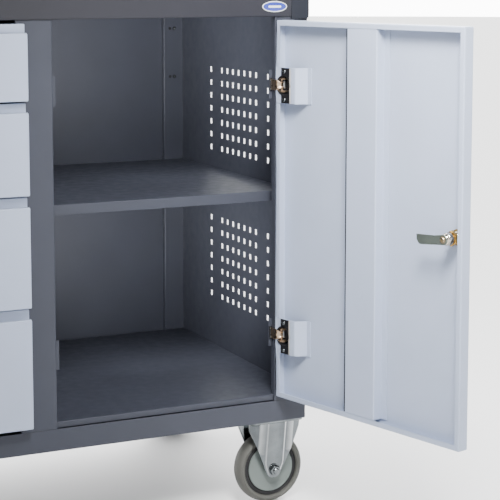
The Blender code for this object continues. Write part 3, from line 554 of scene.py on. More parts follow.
def softened(node_name, finish, fold=FOLD_R, rim=RIM_R):
    """Stands for a CAD node: the same solid with its folds rounded and its cut edges broken."""
    bm = bmesh.new()
    bm.from_mesh(frame["nodes"][node_name].data)
    bmesh.ops.remove_doubles(bm, verts=bm.verts, dist=2e-6)
    marks = bm.faces.layers.int.new("thin")
    for face, is_thin in thin_faces(bm).items():
        face[marks] = int(is_thin)
    shape_limit = math.radians(60)
    bmesh.ops.join_triangles(
        bm, faces=bm.faces, angle_face_threshold=FLAT, angle_shape_threshold=shape_limit
    )
    bm.edges.index_update()
    widths = {}
    for edge in bm.edges:
        edge.smooth = True
        angle = edge.calc_face_angle_signed(0.0)
        if len(edge.link_faces) != 2 or abs(angle) < SHARP:
            continue
        near_rim = any(face[marks] for face in edge.link_faces)
        if angle < 0:
            widths[edge.index] = 0.0 if near_rim else INSIDE_R
        else:
            widths[edge.index] = rim if near_rim else fold
        edge.smooth = widths[edge.index] > 0.0
    widest = max(fold, rim, *widths.values())
    for face in bm.faces:
        face.smooth = True
    mesh = bpy.data.meshes.new(node_name + "_formed")
    bm.to_mesh(mesh)
    bm.free()
    attribute = mesh.attributes.new("bevel_weight_edge", "FLOAT", "EDGE")
    weights = [widths.get(k, 0.0) / widest for k in range(len(mesh.edges))]
    attribute.data.foreach_set("value", weights)
    mesh.materials.append(finish)
    made = add_object(node_name + "_formed", mesh)
    bevel = made.modifiers.new("folds", "BEVEL")
    bevel.limit_method = "WEIGHT"
    bevel.width = widest
    bevel.segments = 3
    bevel.use_clamp_overlap = False
    bevel.harden_normals = True
    bevel.miter_outer = "MITER_ARC"
    flats = made.modifiers.new("flats", "WEIGHTED_NORMAL")
    flats.weight = 100
    flats.keep_sharp = True
    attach(made, BODY_OF[node_name])
    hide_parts(node_name)


GREY_SHEETS = ["base_tray", "post_centre", "post_left", "post_right", "partition", "back_panel"]
GREY_SHEETS += ["cupboard_floor", "shelf", "shelf_support_left", "shelf_support_right", "top_tray"]
for plain in GREY_SHEETS:
    softened(plain, GREY_PAINT)
for plain in ("side_panel_left", "side_panel_right"):
    softened(plain, GREY_PAINT, rim=0.0)
softened("fascia", BAND_PAINT, fold=0.0008)
for cap in ("end_cap_left", "end_cap_right"):
    softened(cap, DARK_PLASTIC, fold=0.0012)
softened("worktop", BEECH, fold=0.0025)
softened("door_panel", SILVER_PAINT, fold=0.0022)
softened("door_stiffener", SILVER_PAINT)
for number in range(1, 5):
    softened(f"drawer_front_{number}", SILVER_PAINT, fold=0.0018)
    softened(f"drawer_box_{number}", GREY_PAINT)
for rack in ("runner_rack_left", "runner_rack_right"):
    softened(rack, ZINC, fold=0.001)


# ---- places on the bench and the door, in the bench frame's and the door frame's own metres ----
HINGE_HEIGHTS = {name: middle_of(f"hinge_cup_{name}").z - ORIGIN.z for name in ("lower", "upper")}
PIVOT = HINGE_AT - ORIGIN
LOCK_Z = JOINTS["cam_turn"]["pos_m"][2] - ORIGIN.z
DOOR_CORNERS = [DOOR.inverted() @ vert.co for vert in frame["nodes"]["door_panel"].data.vertices]
EDGE_X = min(corner.x for corner in DOOR_CORNERS)  # the door's hinge edge
LIP_Y = min(corner.y for corner in DOOR_CORNERS)  # the plane of its lips
SKIN_Y = max(corner.y for corner in DOOR_CORNERS)
DOOR_SHEET = 0.0012
LOCK_X = (DOOR.inverted() @ Vector(JOINTS["cam_turn"]["pos_m"])).x


# ---- hinges ----
CUP_X = EDGE_X + 0.0185  # the cup's centre
CUP_R = 0.017
CUP_DEPTH = 0.0145
BOWL_R = 0.0158
EAR_HALF = 0.0295  # half the flange's height
EAR_X = (-0.0045, 0.0150)  # the flange's two sides, from the cup's centre
NOTCH_HALF = 0.0085  # half the height of the notch that the arm goes through
NOTCH_DEPTH = 0.0121


def flange_reach(angle):
    """The black flange's outline: a rectangle with the cup bulging out at its left."""
    across, up = math.cos(angle), math.sin(angle)
    limits = [EAR_HALF / abs(up)] if abs(up) > 1e-6 else []
    side = EAR_X[1] if across > 0 else -EAR_X[0]
    if abs(across) > 1e-6:
        limits.append(side / abs(across))
    reach = min(limits)
    return max(reach, CUP_R) if across < 0 else reach


def make_cup(name, height):
    """The black cup with its flange, the linkage plates inside it and its two screws."""
    corners = [math.atan2(z, x) for x in EAR_X for z in (-EAR_HALF, EAR_HALF)]
    join = math.pi - math.acos(-EAR_X[0] / CUP_R)
    notch = math.asin(NOTCH_HALF / CUP_R)
    turns = [sign * (math.pi - turn) for turn in (notch, notch + 0.02) for sign in (1, -1)]
    turns += [join, -join] + [math.radians(5 * k - 177.5) for k in range(72)]
    angles = sorted({round(angle, 4) for angle in corners + turns})
    flange_top, flange_low = LIP_Y - GAP - 0.0012, LIP_Y - GAP
    notch_y = LIP_Y + NOTCH_DEPTH
    deep = LIP_Y + CUP_DEPTH

    def ring(radius, y):
        points = []
        for angle in angles:
            reach = radius(angle) if callable(radius) else radius
            notched = math.pi - abs(angle) < notch
            level = max(y, notch_y) if notched else y
            points.append((reach * math.cos(angle), level, reach * math.sin(angle)))
        return points

    bm = bmesh.new()
    rings = [
        ring(CUP_R - 0.001, deep),
        ring(CUP_R, deep - 0.001),
        ring(CUP_R - 0.0001, flange_low),
        ring(flange_reach, flange_low),
        ring(flange_reach, flange_top + 0.0002),
        ring(lambda angle: flange_reach(angle) - 0.0003, flange_top),
        ring(BOWL_R + 0.0008, flange_top),
        ring(BOWL_R, flange_top + 0.0008),
        ring(BOWL_R - 0.0006, deep - 0.0030),
        ring(BOWL_R - 0.0026, deep - 0.0012),
    ]
    add_rings(bm, rings, move(CUP_X, 0, height))
    piece(f"cup_{name}", "door", BLACK_STEEL, bm, DOOR, [f"hinge_cup_{name}"])

    # The linkage inside: a pin, and two shaped plates above and two below the arm.
    corners = [(-0.0024, -0.0074), (0.0060, -0.0078), (0.0128, -0.0040), (0.0128, 0.0040)]
    corners.append((-0.0010, 0.0040))
    wide = rounded(corners, [0.002, 0.003, 0.003, 0.002, 0.002], 4, cyclic=True)
    narrow = [(x * 0.86 + 0.0004, y * 0.92) for x, y in wide]
    bm = bmesh.new()
    add_turned(bm, [(0.0015, -0.0100), (0.0015, 0.0100)], move(0, 0, height), 16)
    for side in (-1, 1):
        for outline, near, far in ((wide, 0.0093, 0.0103), (narrow, 0.0109, 0.0118)):
            low, high = sorted((height + side * near, height + side * far))
            add_plate(bm, outline, low, high, STRAIGHT)
    piece(f"cup_links_{name}", "door", COPPER, bm, DOOR)
    bm = bmesh.new()
    for side in (-1, 1):
        at = move(CUP_X + 0.0025, flange_top + 0.0001, height + side * 0.0235) @ TO_BACK
        add_screw(bm, 0.0036, 0.0016, at)
    piece(f"cup_screws_{name}", "door", ZINC, bm, DOOR)


def make_bracket(name, height):
    """The bracket, a doubling plate on its face, and the edge of the cup's insert beside it."""
    softened(f"hinge_bracket_{name}", SILVER_PAINT, fold=0.0012)
    low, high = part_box(f"hinge_bracket_{name}")
    half = (high.z - low.z) / 2
    first, bend, foot = EDGE_X + 0.0372, EDGE_X + 0.0478, EDGE_X + 0.0590
    up = LIP_Y - 0.0005
    path = rounded([(first, up), (bend, up), (foot, SKIN_Y - 0.0046)], 0.0035, 5)
    bm = bmesh.new()
    add_strip(bm, path, 0.0009, height - half + 0.0003, height + half - 0.0003, STRAIGHT, 0.0002)
    piece(f"hinge_cover_{name}", "door", SILVER_PAINT, bm, DOOR)
    ear = CUP_X + EAR_X[1]
    foot, head = height - half + 0.0008, height + half - 0.0008
    bm = bmesh.new()
    add_block(bm, (ear + 0.0003, LIP_Y - 0.0012, foot), (ear + 0.0024, LIP_Y + 0.0002, head), 0.0004)
    piece(f"hinge_insert_{name}", "door", INSERT, bm, DOOR)


def make_arm(name, height):
    """A cranked strap with raised rims that widens towards the post."""
    corners = [
        (PIVOT.x + 0.0046, PIVOT.y - 0.0022),
        (PIVOT.x - 0.0030, PIVOT.y - 0.0012),
        (PIVOT.x - 0.0082, PIVOT.y + 0.0016),
        (PIVOT.x - 0.0098, PIVOT.y + 0.0062),
        (PIVOT.x - 0.0098, PIVOT.y + 0.0186),
    ]
    path = rounded(corners, [0, 0.006, 0.0035, 0.004, 0], 5)
    length = sum((b - a).length for a, b in zip(path, path[1:]))
    thick = 0.0007  # half the strap's thickness
    rings = []
    gone = 0.0
    for k, point in enumerate(path):
        if k:
            gone += (point - path[k - 1]).length
        before = point - path[k - 1] if k else path[1] - point
        after = path[k + 1] - point if k < len(path) - 1 else before
        heading = (before.normalized() + after.normalized()).normalized()
        # Out is the strap's side that looks to the front or into the cupboard.
        out = Vector((-heading.y, heading.x))
        if out.y > 0.2 or out.x > 0.5:
            out = -out
        share = gone / length
        half = 0.0052 + 0.0038 * max(0.0, min(1.0, (share - 0.1) / 0.4)) ** 1.8
        rim = 0.0010 * (1.0 - smooth_step((share - 0.5) / 0.2)) + 0.0001
        section = [
            (-half, thick + rim * 0.8),
            (-half + 0.0011, thick + rim),
            (-half + 0.0021, thick),
            (0.0, thick - 0.0002),
            (half - 0.0021, thick),
            (half - 0.0011, thick + rim),
            (half, thick + rim * 0.8),
            (half, -thick),
            (-half, -thick),
        ]
        lifted = [(point + out * lift, z) for z, lift in section]
        rings.append([(*flat, height + z) for flat, z in lifted])
    bm = bmesh.new()
    add_rings(bm, rings, STRAIGHT)
    piece(f"arm_{name}", "bench", COPPER, bm, BENCH, [f"hinge_arm_{name}"], smooth=50)
    # A plain steel shoe closes the arm's end, next to the pin.
    bm = bmesh.new()
    low, high = (PIVOT.x + 0.0017, PIVOT.y - 0.0038), (PIVOT.x + 0.0056, PIVOT.y - 0.0002)
    shoe = rectangle(low, high, 0.0012)
    add_plate(bm, shoe, height - 0.0060, height + 0.0060, STRAIGHT, 0.0005)
    piece(f"arm_shoe_{name}", "bench", ZINC_DULL, bm, BENCH)


def make_hinge_plate(name, height):
    """The black plate that holds the arm on the post's tab, with its two screws."""
    low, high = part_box(f"hinge_plate_{name}")
    low, high = low - ORIGIN, high - ORIGIN
    bm = bmesh.new()
    add_block(bm, low, high, 0.0007, 3)
    piece(f"post_plate_{name}", "bench", BLACK_STEEL, bm, BENCH, [f"hinge_plate_{name}"])
    bm = bmesh.new()
    for side in (-1, 1):
        place = move((low.x + high.x) / 2, low.y + 0.0002, height + side * 0.0078)
        add_screw(bm, 0.0022, 0.0010, place @ TO_BACK)
    piece(f"post_plate_screws_{name}", "bench", ZINC, bm, BENCH)


for hinge_name, hinge_height in HINGE_HEIGHTS.items():
    make_cup(hinge_name, hinge_height)
    make_bracket(hinge_name, hinge_height)
    make_arm(hinge_name, hinge_height)
    make_hinge_plate(hinge_name, hinge_height)


# ---- lock ----
LOCK_TIP_Y = LIP_Y - 0.0135
LOCK_AXIS = move(LOCK_X, 0, LOCK_Z)
LEVER_DROOP = math.radians(5.5)
LEVER_T = 0.0022


def make_lock():
    """The barrel with its nut on the inside, and the rosette and the key cylinder on the skin."""
    tip = LOCK_TIP_Y
    nut_top = LIP_Y + 0.0015
    # Plated barrel: a threaded part below the nut, and a smooth head that carries the lever.
    bm = bmesh.new()
    profile = [(0.0090, SKIN_Y - 0.0005)]
    level = SKIN_Y - 0.0018
    while level > nut_top + 0.0060:
        profile += [(0.0090, level), (0.0085, level - 0.0005)]
        level -= 0.0010
    profile += [
        (0.0088, nut_top + 0.0020),
        (0.0088, nut_top - 0.0022),
        (0.0095, nut_top - 0.0030),
        (0.0095, tip + 0.0048),
        (0.0090, tip + 0.0042),
        (0.0090, tip + 0.0030),
        (0.0087, tip + 0.0020),
        (0.0074, tip + 0.0004),
        (0.0070, tip),
    ]
    add_turned(bm, profile, LOCK_AXIS @ TO_Y, 40)
    piece("lock_barrel", "door", CHROME, bm, DOOR, ["lock_body"])
    bm = bmesh.new()
    add_hex(bm, 0.0212, 0.0050, LOCK_AXIS @ move(0, nut_top + 0.0050, 0) @ TO_BACK, 0.0090)
    washer = [(0.0124, 0.0), (0.0128, 0.0003), (0.0128, 0.0009), (0.0124, 0.0012)]
    add_turned(bm, washer, LOCK_AXIS @ move(0, SKIN_Y - DOOR_SHEET - GAP, 0) @ TO_BACK, 40)
    piece("lock_nut", "door", BRASS, bm, DOOR)
    # Outside: a turned rosette and the key cylinder with its slot.
    on_skin = LOCK_AXIS @ move(0, SKIN_Y, 0) @ TO_Y
    bm = bmesh.new()
    rosette = [(0.0122, 0.0003), (0.0124, 0.0008), (0.0121, 0.0015), (0.0114, 0.0020)]
    rosette += [(0.0082, 0.0022), (0.0080, 0.0014)]
    add_turned(bm, rosette, on_skin)
    piece("lock_rosette", "door", CHROME, bm, DOOR)
    bm = bmesh.new()
    slot_w, slot_h = 0.0008, 0.0038  # half the key slot
    face_y = 0.0021

    def slot_ring(scale, level):
        points = []
        for x, y, _ in circle(1.0, 0.0, 40):
            reach = scale * min(slot_w / max(1e-6, abs(x)), slot_h / max(1e-6, abs(y)))
            points.append((reach * x, reach * y, level))
        return points

    rim = [(0.0072, 0.0004), (0.0072, face_y - 0.0003), (0.0069, face_y)]
    rings = [circle(radius, level, 40) for radius, level in rim]
    rings += [slot_ring(1.0, face_y), slot_ring(0.96, face_y - 0.0016)]
    add_rings(bm, rings, on_skin)
    piece("lock_cylinder", "door", BRASS, bm, DOOR)


def drooped(points):
    """Turns a lever outline so that its tip hangs below the level."""
    across, up = math.cos(LEVER_DROOP), math.sin(LEVER_DROOP)
    return [(x * across - z * up, x * up + z * across) for x, z in points]


def make_lever():
    """The cam lever on the barrel's end, with its screw."""
    back = LOCK_TIP_Y - GAP
    corners = [(-0.0530, -0.0080), (0.0082, -0.0080), (0.0082, 0.0080), (-0.0180, 0.0064)]
    corners.append((-0.0530, 0.0080))
    outline = rounded(corners, [0.0078, 0.0079, 0.0079, 0.02, 0.0025], 6, cyclic=True)
    place = LOCK_AXIS @ move(0, back, 0) @ TO_BACK @ MIRROR_Z
    bm = bmesh.new()
    add_plate(bm, drooped(outline), -LEVER_T, 0.0, place, 0.0004)
    # The upper edge and the tip are folded up a little.
    fold = [(-0.0528, -0.0016), (-0.0516, -0.0016), (-0.0512, 0.0066), (-0.0200, 0.0054)]
    fold += [(-0.0200, 0.0066), (-0.0526, 0.0079)]
    add_plate(bm, drooped(fold), -LEVER_T - 0.0007, -LEVER_T + 0.0003, place, 0.0002)
    piece("lever_plate", "cam", LEVER_STEEL, bm, DOOR, ["cam_lever"])
    on_lever = LOCK_AXIS @ move(0, back - LEVER_T, 0) @ TO_BACK
    bm = bmesh.new()
    add_screw(bm, 0.0047, 0.0024, on_lever)
    washer = [(0.0056, 0.0), (0.0058, 0.0002), (0.0058, 0.0006), (0.0055, 0.0008)]
    add_turned(bm, washer, on_lever, 32)
    piece("lever_screw", "cam", SCREW_BRASS, bm, DOOR)


make_lock()
make_lever()


# ---- castors, in a frame at the wheel's centre with the bench's axes ----
WHEEL_R = middle_of("tyre_front_right").z
AXLE_R = 0.004
LEG_LOW_R = 0.0145  # the leg's round end, about the axle
LEG_LOW_Y = TYRE_W / 2 + 0.0070
LEG_T = 0.0028
LEG_ROUND = LEG_LOW_R * 0.26  # the round end begins this far below the axle


def leg_half_width(z, top, top_half):
    """Half the width of a fork leg at a height above the axle."""
    straight = top - 0.012
    low_half = LEG_LOW_R * 0.97
    slope = (top_half - low_half) / (straight + LEG_ROUND)
    if z >= straight:
        return top_half
    if z >= -LEG_ROUND:
        return low_half + slope * (z + LEG_ROUND)
    return math.sqrt(max(0.0, LEG_LOW_R**2 - z * z))


def add_leg(bm, side, top, top_half, top_y, at, rib=0.0165, crease=0.031):
    """A pressed leg: a raised rib down its middle, and flanks that bend back beyond a crease."""
    # Each front vertex carries a weight for the highlight painted into the zinc's colour.
    shine = bm.verts.layers.float.get("painted_highlight") or bm.verts.layers.float.new("painted_highlight")
    heights = [top - (top + LEG_ROUND) * k / 14 for k in range(15)]
    heights += [-LEG_LOW_R * math.sin(math.radians(a)) for a in (24, 35, 46, 57, 68, 78, 86)]
    rib_h, rib_soft = 0.0036, 0.0022
    front_rows, back_rows = [], []
    for z in heights:
        half = leg_half_width(z, top, top_half)
        rib_x = min(rib, half * 0.80)
        marks = [half, half - 0.0006]
        marks += [crease + 0.0022, crease + 0.0008, crease - 0.0008]
        marks += [rib_x + rib_soft, rib_x + rib_soft / 2, rib_x, rib_x - rib_soft / 2, rib_x - rib_soft]
        marks = [min(mark, half) for mark in marks]
        for k in range(1, len(marks)):
            marks[k] = min(marks[k], marks[k - 1] - 0.00005)
        columns = [-mark for mark in marks] + [0.0] + list(reversed(marks))
        fade = smooth_step((z + LEG_LOW_R * 0.9) / 0.010)
        lean = LEG_LOW_Y + (top_y - LEG_LOW_Y) * max(0.0, z) / top
        front, back = [], []
        for x in columns:
            raised = rib_h * smooth_step((rib_x + rib_soft - abs(x)) / (2 * rib_soft)) * fade
            behind = 0.55 * max(0.0, abs(x) - crease)
            y = lean + raised * 0.5 - behind
            front.append(bm.verts.new(at @ Vector((x, side * (y + LEG_T / 2), z))))
            back.append(bm.verts.new(at @ Vector((x, side * (y - LEG_T / 2), z))))
            # The painted highlight runs along the rib and the crease, full on one half of the leg and at 0.45 on
            # the other, as the light falls.
            on_rib = 1.0 - min(1.0, abs(abs(x) - rib_x) / 0.0016)
            on_crease = 1.0 - min(1.0, abs(abs(x) - crease) / 0.0016)
            front[-1][shine] = max(on_rib * fade, on_crease) * (1.0 if x * side < 0 else 0.45)
        front_rows.append(front)
        back_rows.append(back)
    front_sides, back_sides = list(zip(*front_rows)), list(zip(*back_rows))
    joins = list(zip(front_rows, front_rows[1:])) + list(zip(back_rows, back_rows[1:]))
    joins += [(front_rows[k], back_rows[k]) for k in (0, -1)]
    joins += [(front_sides[k], back_sides[k]) for k in (0, -1)]
    for near, far in joins:
        for k in range(len(near) - 1):
            bm.faces.new((near[k], near[k + 1], far[k + 1], far[k]))


def add_bolt_heads(bm, places, at, across=0.013, height=0.0053):
    for place in places:
        base = at @ move(*place) @ DOWN
        add_turned(bm, [(0.0085, 0.0), (0.0085, 0.0012), (0.0080, 0.0015)], base, 24)
        add_hex(bm, across, height, base @ move(0, 0, 0.0014))


def add_two_sided(bm, profile, at, middle=()):
    """Turns one side's (radius, width) profile, any points in the middle, and the other side."""
    mirrored = [(radius, -width) for radius, width in reversed(profile)]
    add_turned(bm, [*profile, *middle, *mirrored], at, 96, closed=True)


def make_wheel(name, body, centre):
    """The tyre, the black rim that shows beside it, and the disc with its hub."""
    at = move(*centre) @ TO_Y
    half = TYRE_W / 2
    crown, rim_r = 0.0085, 0.0495
    bm = bmesh.new()
    side = [(rim_r, half - 0.0045), (rim_r + 0.0010, half - 0.0020), (rim_r + 0.0030, half - 0.0014)]
    side += [(rim_r + 0.0038, half - 0.0006), (rim_r + 0.0050, half - 0.0004)]
    for degrees in range(66, 0, -6):
        across, up = math.sin(math.radians(degrees)), math.cos(math.radians(degrees))
        side.append((WHEEL_R - crown + crown * up, (half - 0.0010) * across**0.9))
    add_two_sided(bm, side, at, [(WHEEL_R, 0.0)])
    piece(f"wheel_tyre_{name}", body, RUBBER, bm, replaces=[f"tyre_{name}"], smooth=40)

    bm = bmesh.new()
    ring = [(0.0420, half - 0.0052), (0.0426, half - 0.0044), (0.0440, half - 0.0056)]
    ring += [(0.0478, half - 0.0056), (0.0488, half - 0.0042), (0.0493, half - 0.0046)]
    add_two_sided(bm, ring, at)
    piece(f"wheel_rim_{name}", body, RIM_BLACK, bm)

    bm = bmesh.new()
    bore = AXLE_R + 0.0005
    face = [(bore, half + 0.0025), (0.0105, half + 0.0025), (0.0112, half + 0.0018)]
    face += [(0.0120, half - 0.0020), (0.0150, half - 0.0038), (0.0395, half - 0.0034)]
    face += [(0.0412, half - 0.0030), (0.0421, half - 0.0036), (0.0423, half - 0.0060)]
    add_two_sided(bm, face, at)
    disc_for = [f"wheel_centre_{name}"]
    piece(f"wheel_disc_{name}", body, WHEEL_PLASTIC, bm, replaces=disc_for)


def make_axle(name, body, centre):
    """The axle's nut and threaded end face the front of the bench, and its head the back."""
    seat = LEG_LOW_Y + LEG_T / 2 + 0.0021
    at = move(*centre)
    bm = bmesh.new()
    washer = [(0.0108, 0.0), (0.0110, 0.0003), (0.0110, 0.0011), (0.0106, 0.0014)]
    add_turned(bm, washer, at @ move(0, -seat + 0.0001, 0) @ TO_BACK, 32)
    add_turned(bm, washer, at @ move(0, seat - 0.0001, 0) @ TO_Y, 32)
    thread = AXLE_R * 1.2
    nut_turn = Matrix.Rotation(0.35, 4, "Z")
    add_hex(bm, 0.0165, 0.0062, at @ move(0, -seat - 0.0012, 0) @ TO_BACK @ nut_turn, thread)
    add_hex(bm, 0.0165, 0.0050, at @ move(0, seat + 0.0012, 0) @ TO_Y)
    end = seat + 0.0104
    shank = [(AXLE_R - 0.0003, -seat), (AXLE_R, -seat + 0.0005), (AXLE_R, seat + 0.0008)]
    shank += [(thread, seat + 0.0013), (thread, end - 0.0036)]
    for k in range(4):
        level = end - 0.0036 + 0.0009 * k
        shank += [(thread - 0.00035, level), (thread, level + 0.00045)]
    shank += [(thread - 0.0010, end + 0.0004)]
    add_turned(bm, shank, at @ TO_BACK, 32)
    piece(f"axle_bolt_{name}", body, ZINC, bm, replaces=[f"axle_{name}"])


def plate_outline(half_x, half_y):
    return rectangle((-half_x, -half_y), (half_x, half_y), 0.009)


CASTOR_PLATE = plate_outline(0.050, 0.0425)
CASTOR_PLATE_T = 0.004


def make_fixed_castor(name):
    """A plate with a pressed step below it and two legs, held by four bolts."""
    centre = middle_of(f"tyre_{name}")
    at = move(*centre)
    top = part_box(f"fork_{name}")[1].z - centre.z
    under = top - CASTOR_PLATE_T
    bm = bmesh.new()
    add_plate(bm, CASTOR_PLATE, under, top, at, 0.0005)
    add_plate(bm, plate_outline(0.0470, 0.0375), under - 0.0028, under + 0.0003, at, 0.0010)
    for side in (-1, 1):
        add_leg(bm, side, under - 0.0010, 0.0480, 0.0365, at)
    piece(f"castor_fork_{name}", "bench", ZINC, bm, replaces=[f"fork_{name}"])
    bm = bmesh.new()
    places = [(x, y, under - 0.0026) for x in (-0.036, 0.036) for y in (-0.024, 0.024)]
    add_bolt_heads(bm, places, at)
    piece(f"castor_bolts_{name}", "bench", ZINC_DULL, bm)
    make_wheel(name, f"wheel_{name}", centre)
    make_axle(name, "bench", centre)


def make_swivel_castor(name):
    """A bolted plate with a bowl, and below its bearing the fork that turns, with its brake."""
    centre = middle_of(f"tyre_{name}")
    pivot = Vector(JOINTS[f"swivel_{name}"]["pos_m"])
    pivot.z = centre.z
    at = move(*pivot)
    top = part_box(f"swivel_plate_{name}")[1].z - centre.z
    under = top - CASTOR_PLATE_T
    race = under - 0.0117
    bm = bmesh.new()
    add_plate(bm, CASTOR_PLATE, under, top, at, 0.0005)
    bowl = [(0.0330, under + 0.0003), (0.0330, under - 0.0020), (0.0300, under - 0.0040)]
    bowl += [(0.0275, under - 0.0080), (0.0262, race + 0.0012), (0.0255, race)]
    add_turned(bm, bowl, at, 64)
    piece(f"castor_plate_{name}", "bench", ZINC, bm, replaces=[f"swivel_plate_{name}"])
    bm = bmesh.new()
    places = [(x, y, under + 0.0002) for x in (-0.040, 0.040) for y in (-0.030, 0.030)]
    add_bolt_heads(bm, places, at)
    piece(f"castor_bolts_{name}", "bench", ZINC_DULL, bm)

    body = f"swivel_{name}"
    trail = centre.x - pivot.x
    crown_top, crown_low = race - 0.0008, race - 0.0058
    bm = bmesh.new()
    crown = [(0.0300, crown_low), (0.0318, crown_low + 0.0012)]
    crown += [(0.0320, crown_top - 0.0012), (0.0306, crown_top)]
    add_turned(bm, crown, at, 64)
    bridge = rectangle((0.004, -0.0255), (trail + 0.0395, 0.0255), 0.006)
    add_plate(bm, bridge, crown_low + 0.0002, crown_top - 0.0002, at, 0.0010)
    for side in (-1, 1):
        add_leg(bm, side, crown_low + 0.0012, 0.0278, 0.0240, at @ move(trail, 0, 0), 0.0105, 0.040)
    # Two cheeks below the crown carry the brake's pin.
    hinge = Vector(JOINTS[f"brake_{name}"]["pos_m"]) - pivot
    left, right, foot = hinge.x - 0.0058, hinge.x + 0.0048, hinge.z - 0.0050
    up = crown_low + 0.0005
    cheek = [(left, up), (left, foot), (right, foot), (right, up)]
    cheek = rounded(cheek, [0, 0.003, 0.003, 0], 4, cyclic=True)
    for start in (-0.0180, 0.0150):
        add_plate(bm, cheek, start, start + 0.0030, at @ SWAP_YZ, 0.0004)
    add_turned(bm, [(0.0014, -0.0195), (0.0014, 0.0195)], at @ move(*hinge) @ TO_Y, 16)
    piece(f"castor_fork_{name}", body, ZINC, bm, replaces=[f"fork_{name}"])
    softened(f"brake_pedal_{name}", PEDAL_RED, fold=0.0012)
    bm = bmesh.new()
    for k in range(3):
        x = hinge.x + 0.0365 + 0.0032 * k
        z = hinge.z + 0.0046 - 0.0019 * k
        add_block(bm, (x, -0.0115, z - 0.0008), (x + 0.0014, 0.0115, z + 0.0004), 0.0004, 2, at)
    piece(f"pedal_ribs_{name}", f"brake_{name}", PEDAL_RED, bm)
    make_wheel(name, f"wheel_{name}", centre)
    make_axle(name, body, centre)


for end_name in ("front", "rear"):
    make_fixed_castor(f"{end_name}_right")
    make_swivel_castor(f"{end_name}_left")


# ---- badge ----
def make_badge():
    """A pale oval rim round a blue field with one plain bar."""
    low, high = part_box("badge")
    half_x, half_z = (high.x - low.x) / 2, (high.z - low.z) / 2
    at = move((low.x + high.x) / 2, high.y, (low.z + high.z) / 2) @ TO_BACK
    depth = high.y - low.y

    def rings(*steps):
        """Ovals, each drawn in from the badge's edge, at a share of its depth."""
        sizes = [(half_x - inset, half_z - inset, depth * share) for inset, share in steps]
        return [[(x * a, z * b, level) for x, z, _ in circle(1.0, 0.0, 64)] for a, b, level in sizes]

    bm = bmesh.new()
    add_rings(bm, rings((0, 0), (0, 0.7), (0.0005, 1), (0.0014, 1), (0.0016, 0.8)), at)
    piece("badge_rim", "bench", BADGE_RIM, bm, replaces=["badge"])
    bm = bmesh.new()
    add_rings(bm, rings((0.0016, 0.5), (0.0017, 0.86), (0.0040, 0.93), (0.0060, 0.95)), at)
    piece("badge_field", "bench", BADGE_BLUE, bm)
    bm = bmesh.new()
    bar = rectangle((-half_x * 0.52, -half_z * 0.20), (half_x * 0.52, half_z * 0.20), half_z * 0.19, 6)
    add_plate(bm, bar, depth * 0.90, depth * 0.99, at, 0.0001)
    piece("badge_bar", "bench", BADGE_RIM, bm)


make_badge()


# ---- a painted shadow along the stiffener, the fasteners and the drawers' runners ----
def make_painted_stiffener_shadow():
    """A dark line painted along the hinge side of the stiffener's raised flat: painted shadow where the corner
    falls in shade.
    """
    vertices = frame["nodes"]["door_stiffener"].data.vertices
    corners = [DOOR.inverted() @ vert.co for vert in vertices]
    edge = min(corner.x for corner in corners) + 0.012
    flat = min(corner.y for corner in corners)
    left, right, top = edge - 0.0002, edge + 0.0022, flat - 0.0001
    outline = [(left, top), (right, top), (right, flat + 0.0006), (left, flat + 0.0024)]
    low, high = min(corner.z for corner in corners), max(corner.z for corner in corners)
    bm = bmesh.new()
    add_plate(bm, outline, low + 0.0005, high - 0.0005, STRAIGHT, 0.00005)
    piece("stiffener_shadow_line", "door", PAINTED_SHADE, bm, DOOR)


def make_fasteners():
    """The screws of the right side panel's rear flange with a dark disc of painted shade for each hole, and the
    back panel's screws.
    """
    flange_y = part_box("shelf")[1].y + GAP - ORIGIN.y
    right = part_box("side_panel_right")[1].x - ORIGIN.x
    bm = bmesh.new()
    hole_shade = bmesh.new()
    screw_x, hole_x = right - 0.019, right - 0.028
    for height in (0.562, 0.658):
        add_screw(bm, 0.0036, 0.0022, move(screw_x, flange_y, height) @ TO_BACK)
        # Each hole is a flat dark disc: painted shade standing in for the hole.
        hole_at = move(hole_x, flange_y, height) @ TO_BACK
        add_turned(hole_shade, [(0.0030, 0.0), (0.0030, 0.0002)], hole_at, 20)
    piece("flange_screws", "bench", ZINC, bm, BENCH)
    piece("flange_hole_shade", "bench", PAINTED_SHADE, hole_shade, BENCH)

    low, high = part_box("back_panel")
    bm = bmesh.new()
    # Five rows, of which the lowest and the highest stand in from the panel's edges.
    inset_x, inset_z = 0.022, 0.040
    step = (high.z - low.z - 2 * inset_z) / 4
    for x in (low.x + inset_x, middle_of("partition").x, high.x - inset_x):
        for k in range(5):
            add_screw(bm, 0.0042, 0.0022, move(x, high.y, low.z + inset_z + k * step) @ TO_Y)
    piece("back_screws", "bench", BLACK_STEEL, bm)


def make_runners():
    """The runner's inner member on each side of each drawer."""
    for k in range(1, 5):
        low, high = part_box(f"drawer_box_{k}")
        front, rear = low.y + 0.004, high.y - 0.006
        foot, head = (low.z + high.z) / 2 - 0.009, (low.z + high.z) / 2 + 0.009
        bm = bmesh.new()
        for start in (low.x - 0.0007, high.x + 0.0001):
            add_block(bm, (start, front, foot), (start + 0.0006, rear, head), 0.0002)
        piece(f"drawer_runner_{k}", f"drawer_{k}", ZINC, bm)


make_painted_stiffener_shadow()
make_fasteners()
make_runners()


# ---- camera, floor and light ----
# The camera stands off the bench frame's origin. Yaw is from +Y to +X, and pitch is up from level.
CAMERA_AT = ORIGIN + Vector((-0.76844, -2.35121, 0.77138))
YAW, PITCH = math.radians(25.31), math.radians(-6.53)
LENS, SENSOR, SHIFT_Y = 112.47, 36.0, -0.2
# The sky's strength behind the bench, and its shares beside and in front of it.
SKY, SKY_SIDE, SKY_FRONT = 12.0, 0.022, 0.02
# The lamps' powers in watts.
FRONT, FILL, DOOR_LIGHT, BAY_LIGHT = 10, 19, 15, 1.7


def aim(obj, place, target):
    obj.location = place
    obj.rotation_euler = (Vector(target) - Vector(place)).to_track_quat("-Z", "Y").to_euler()


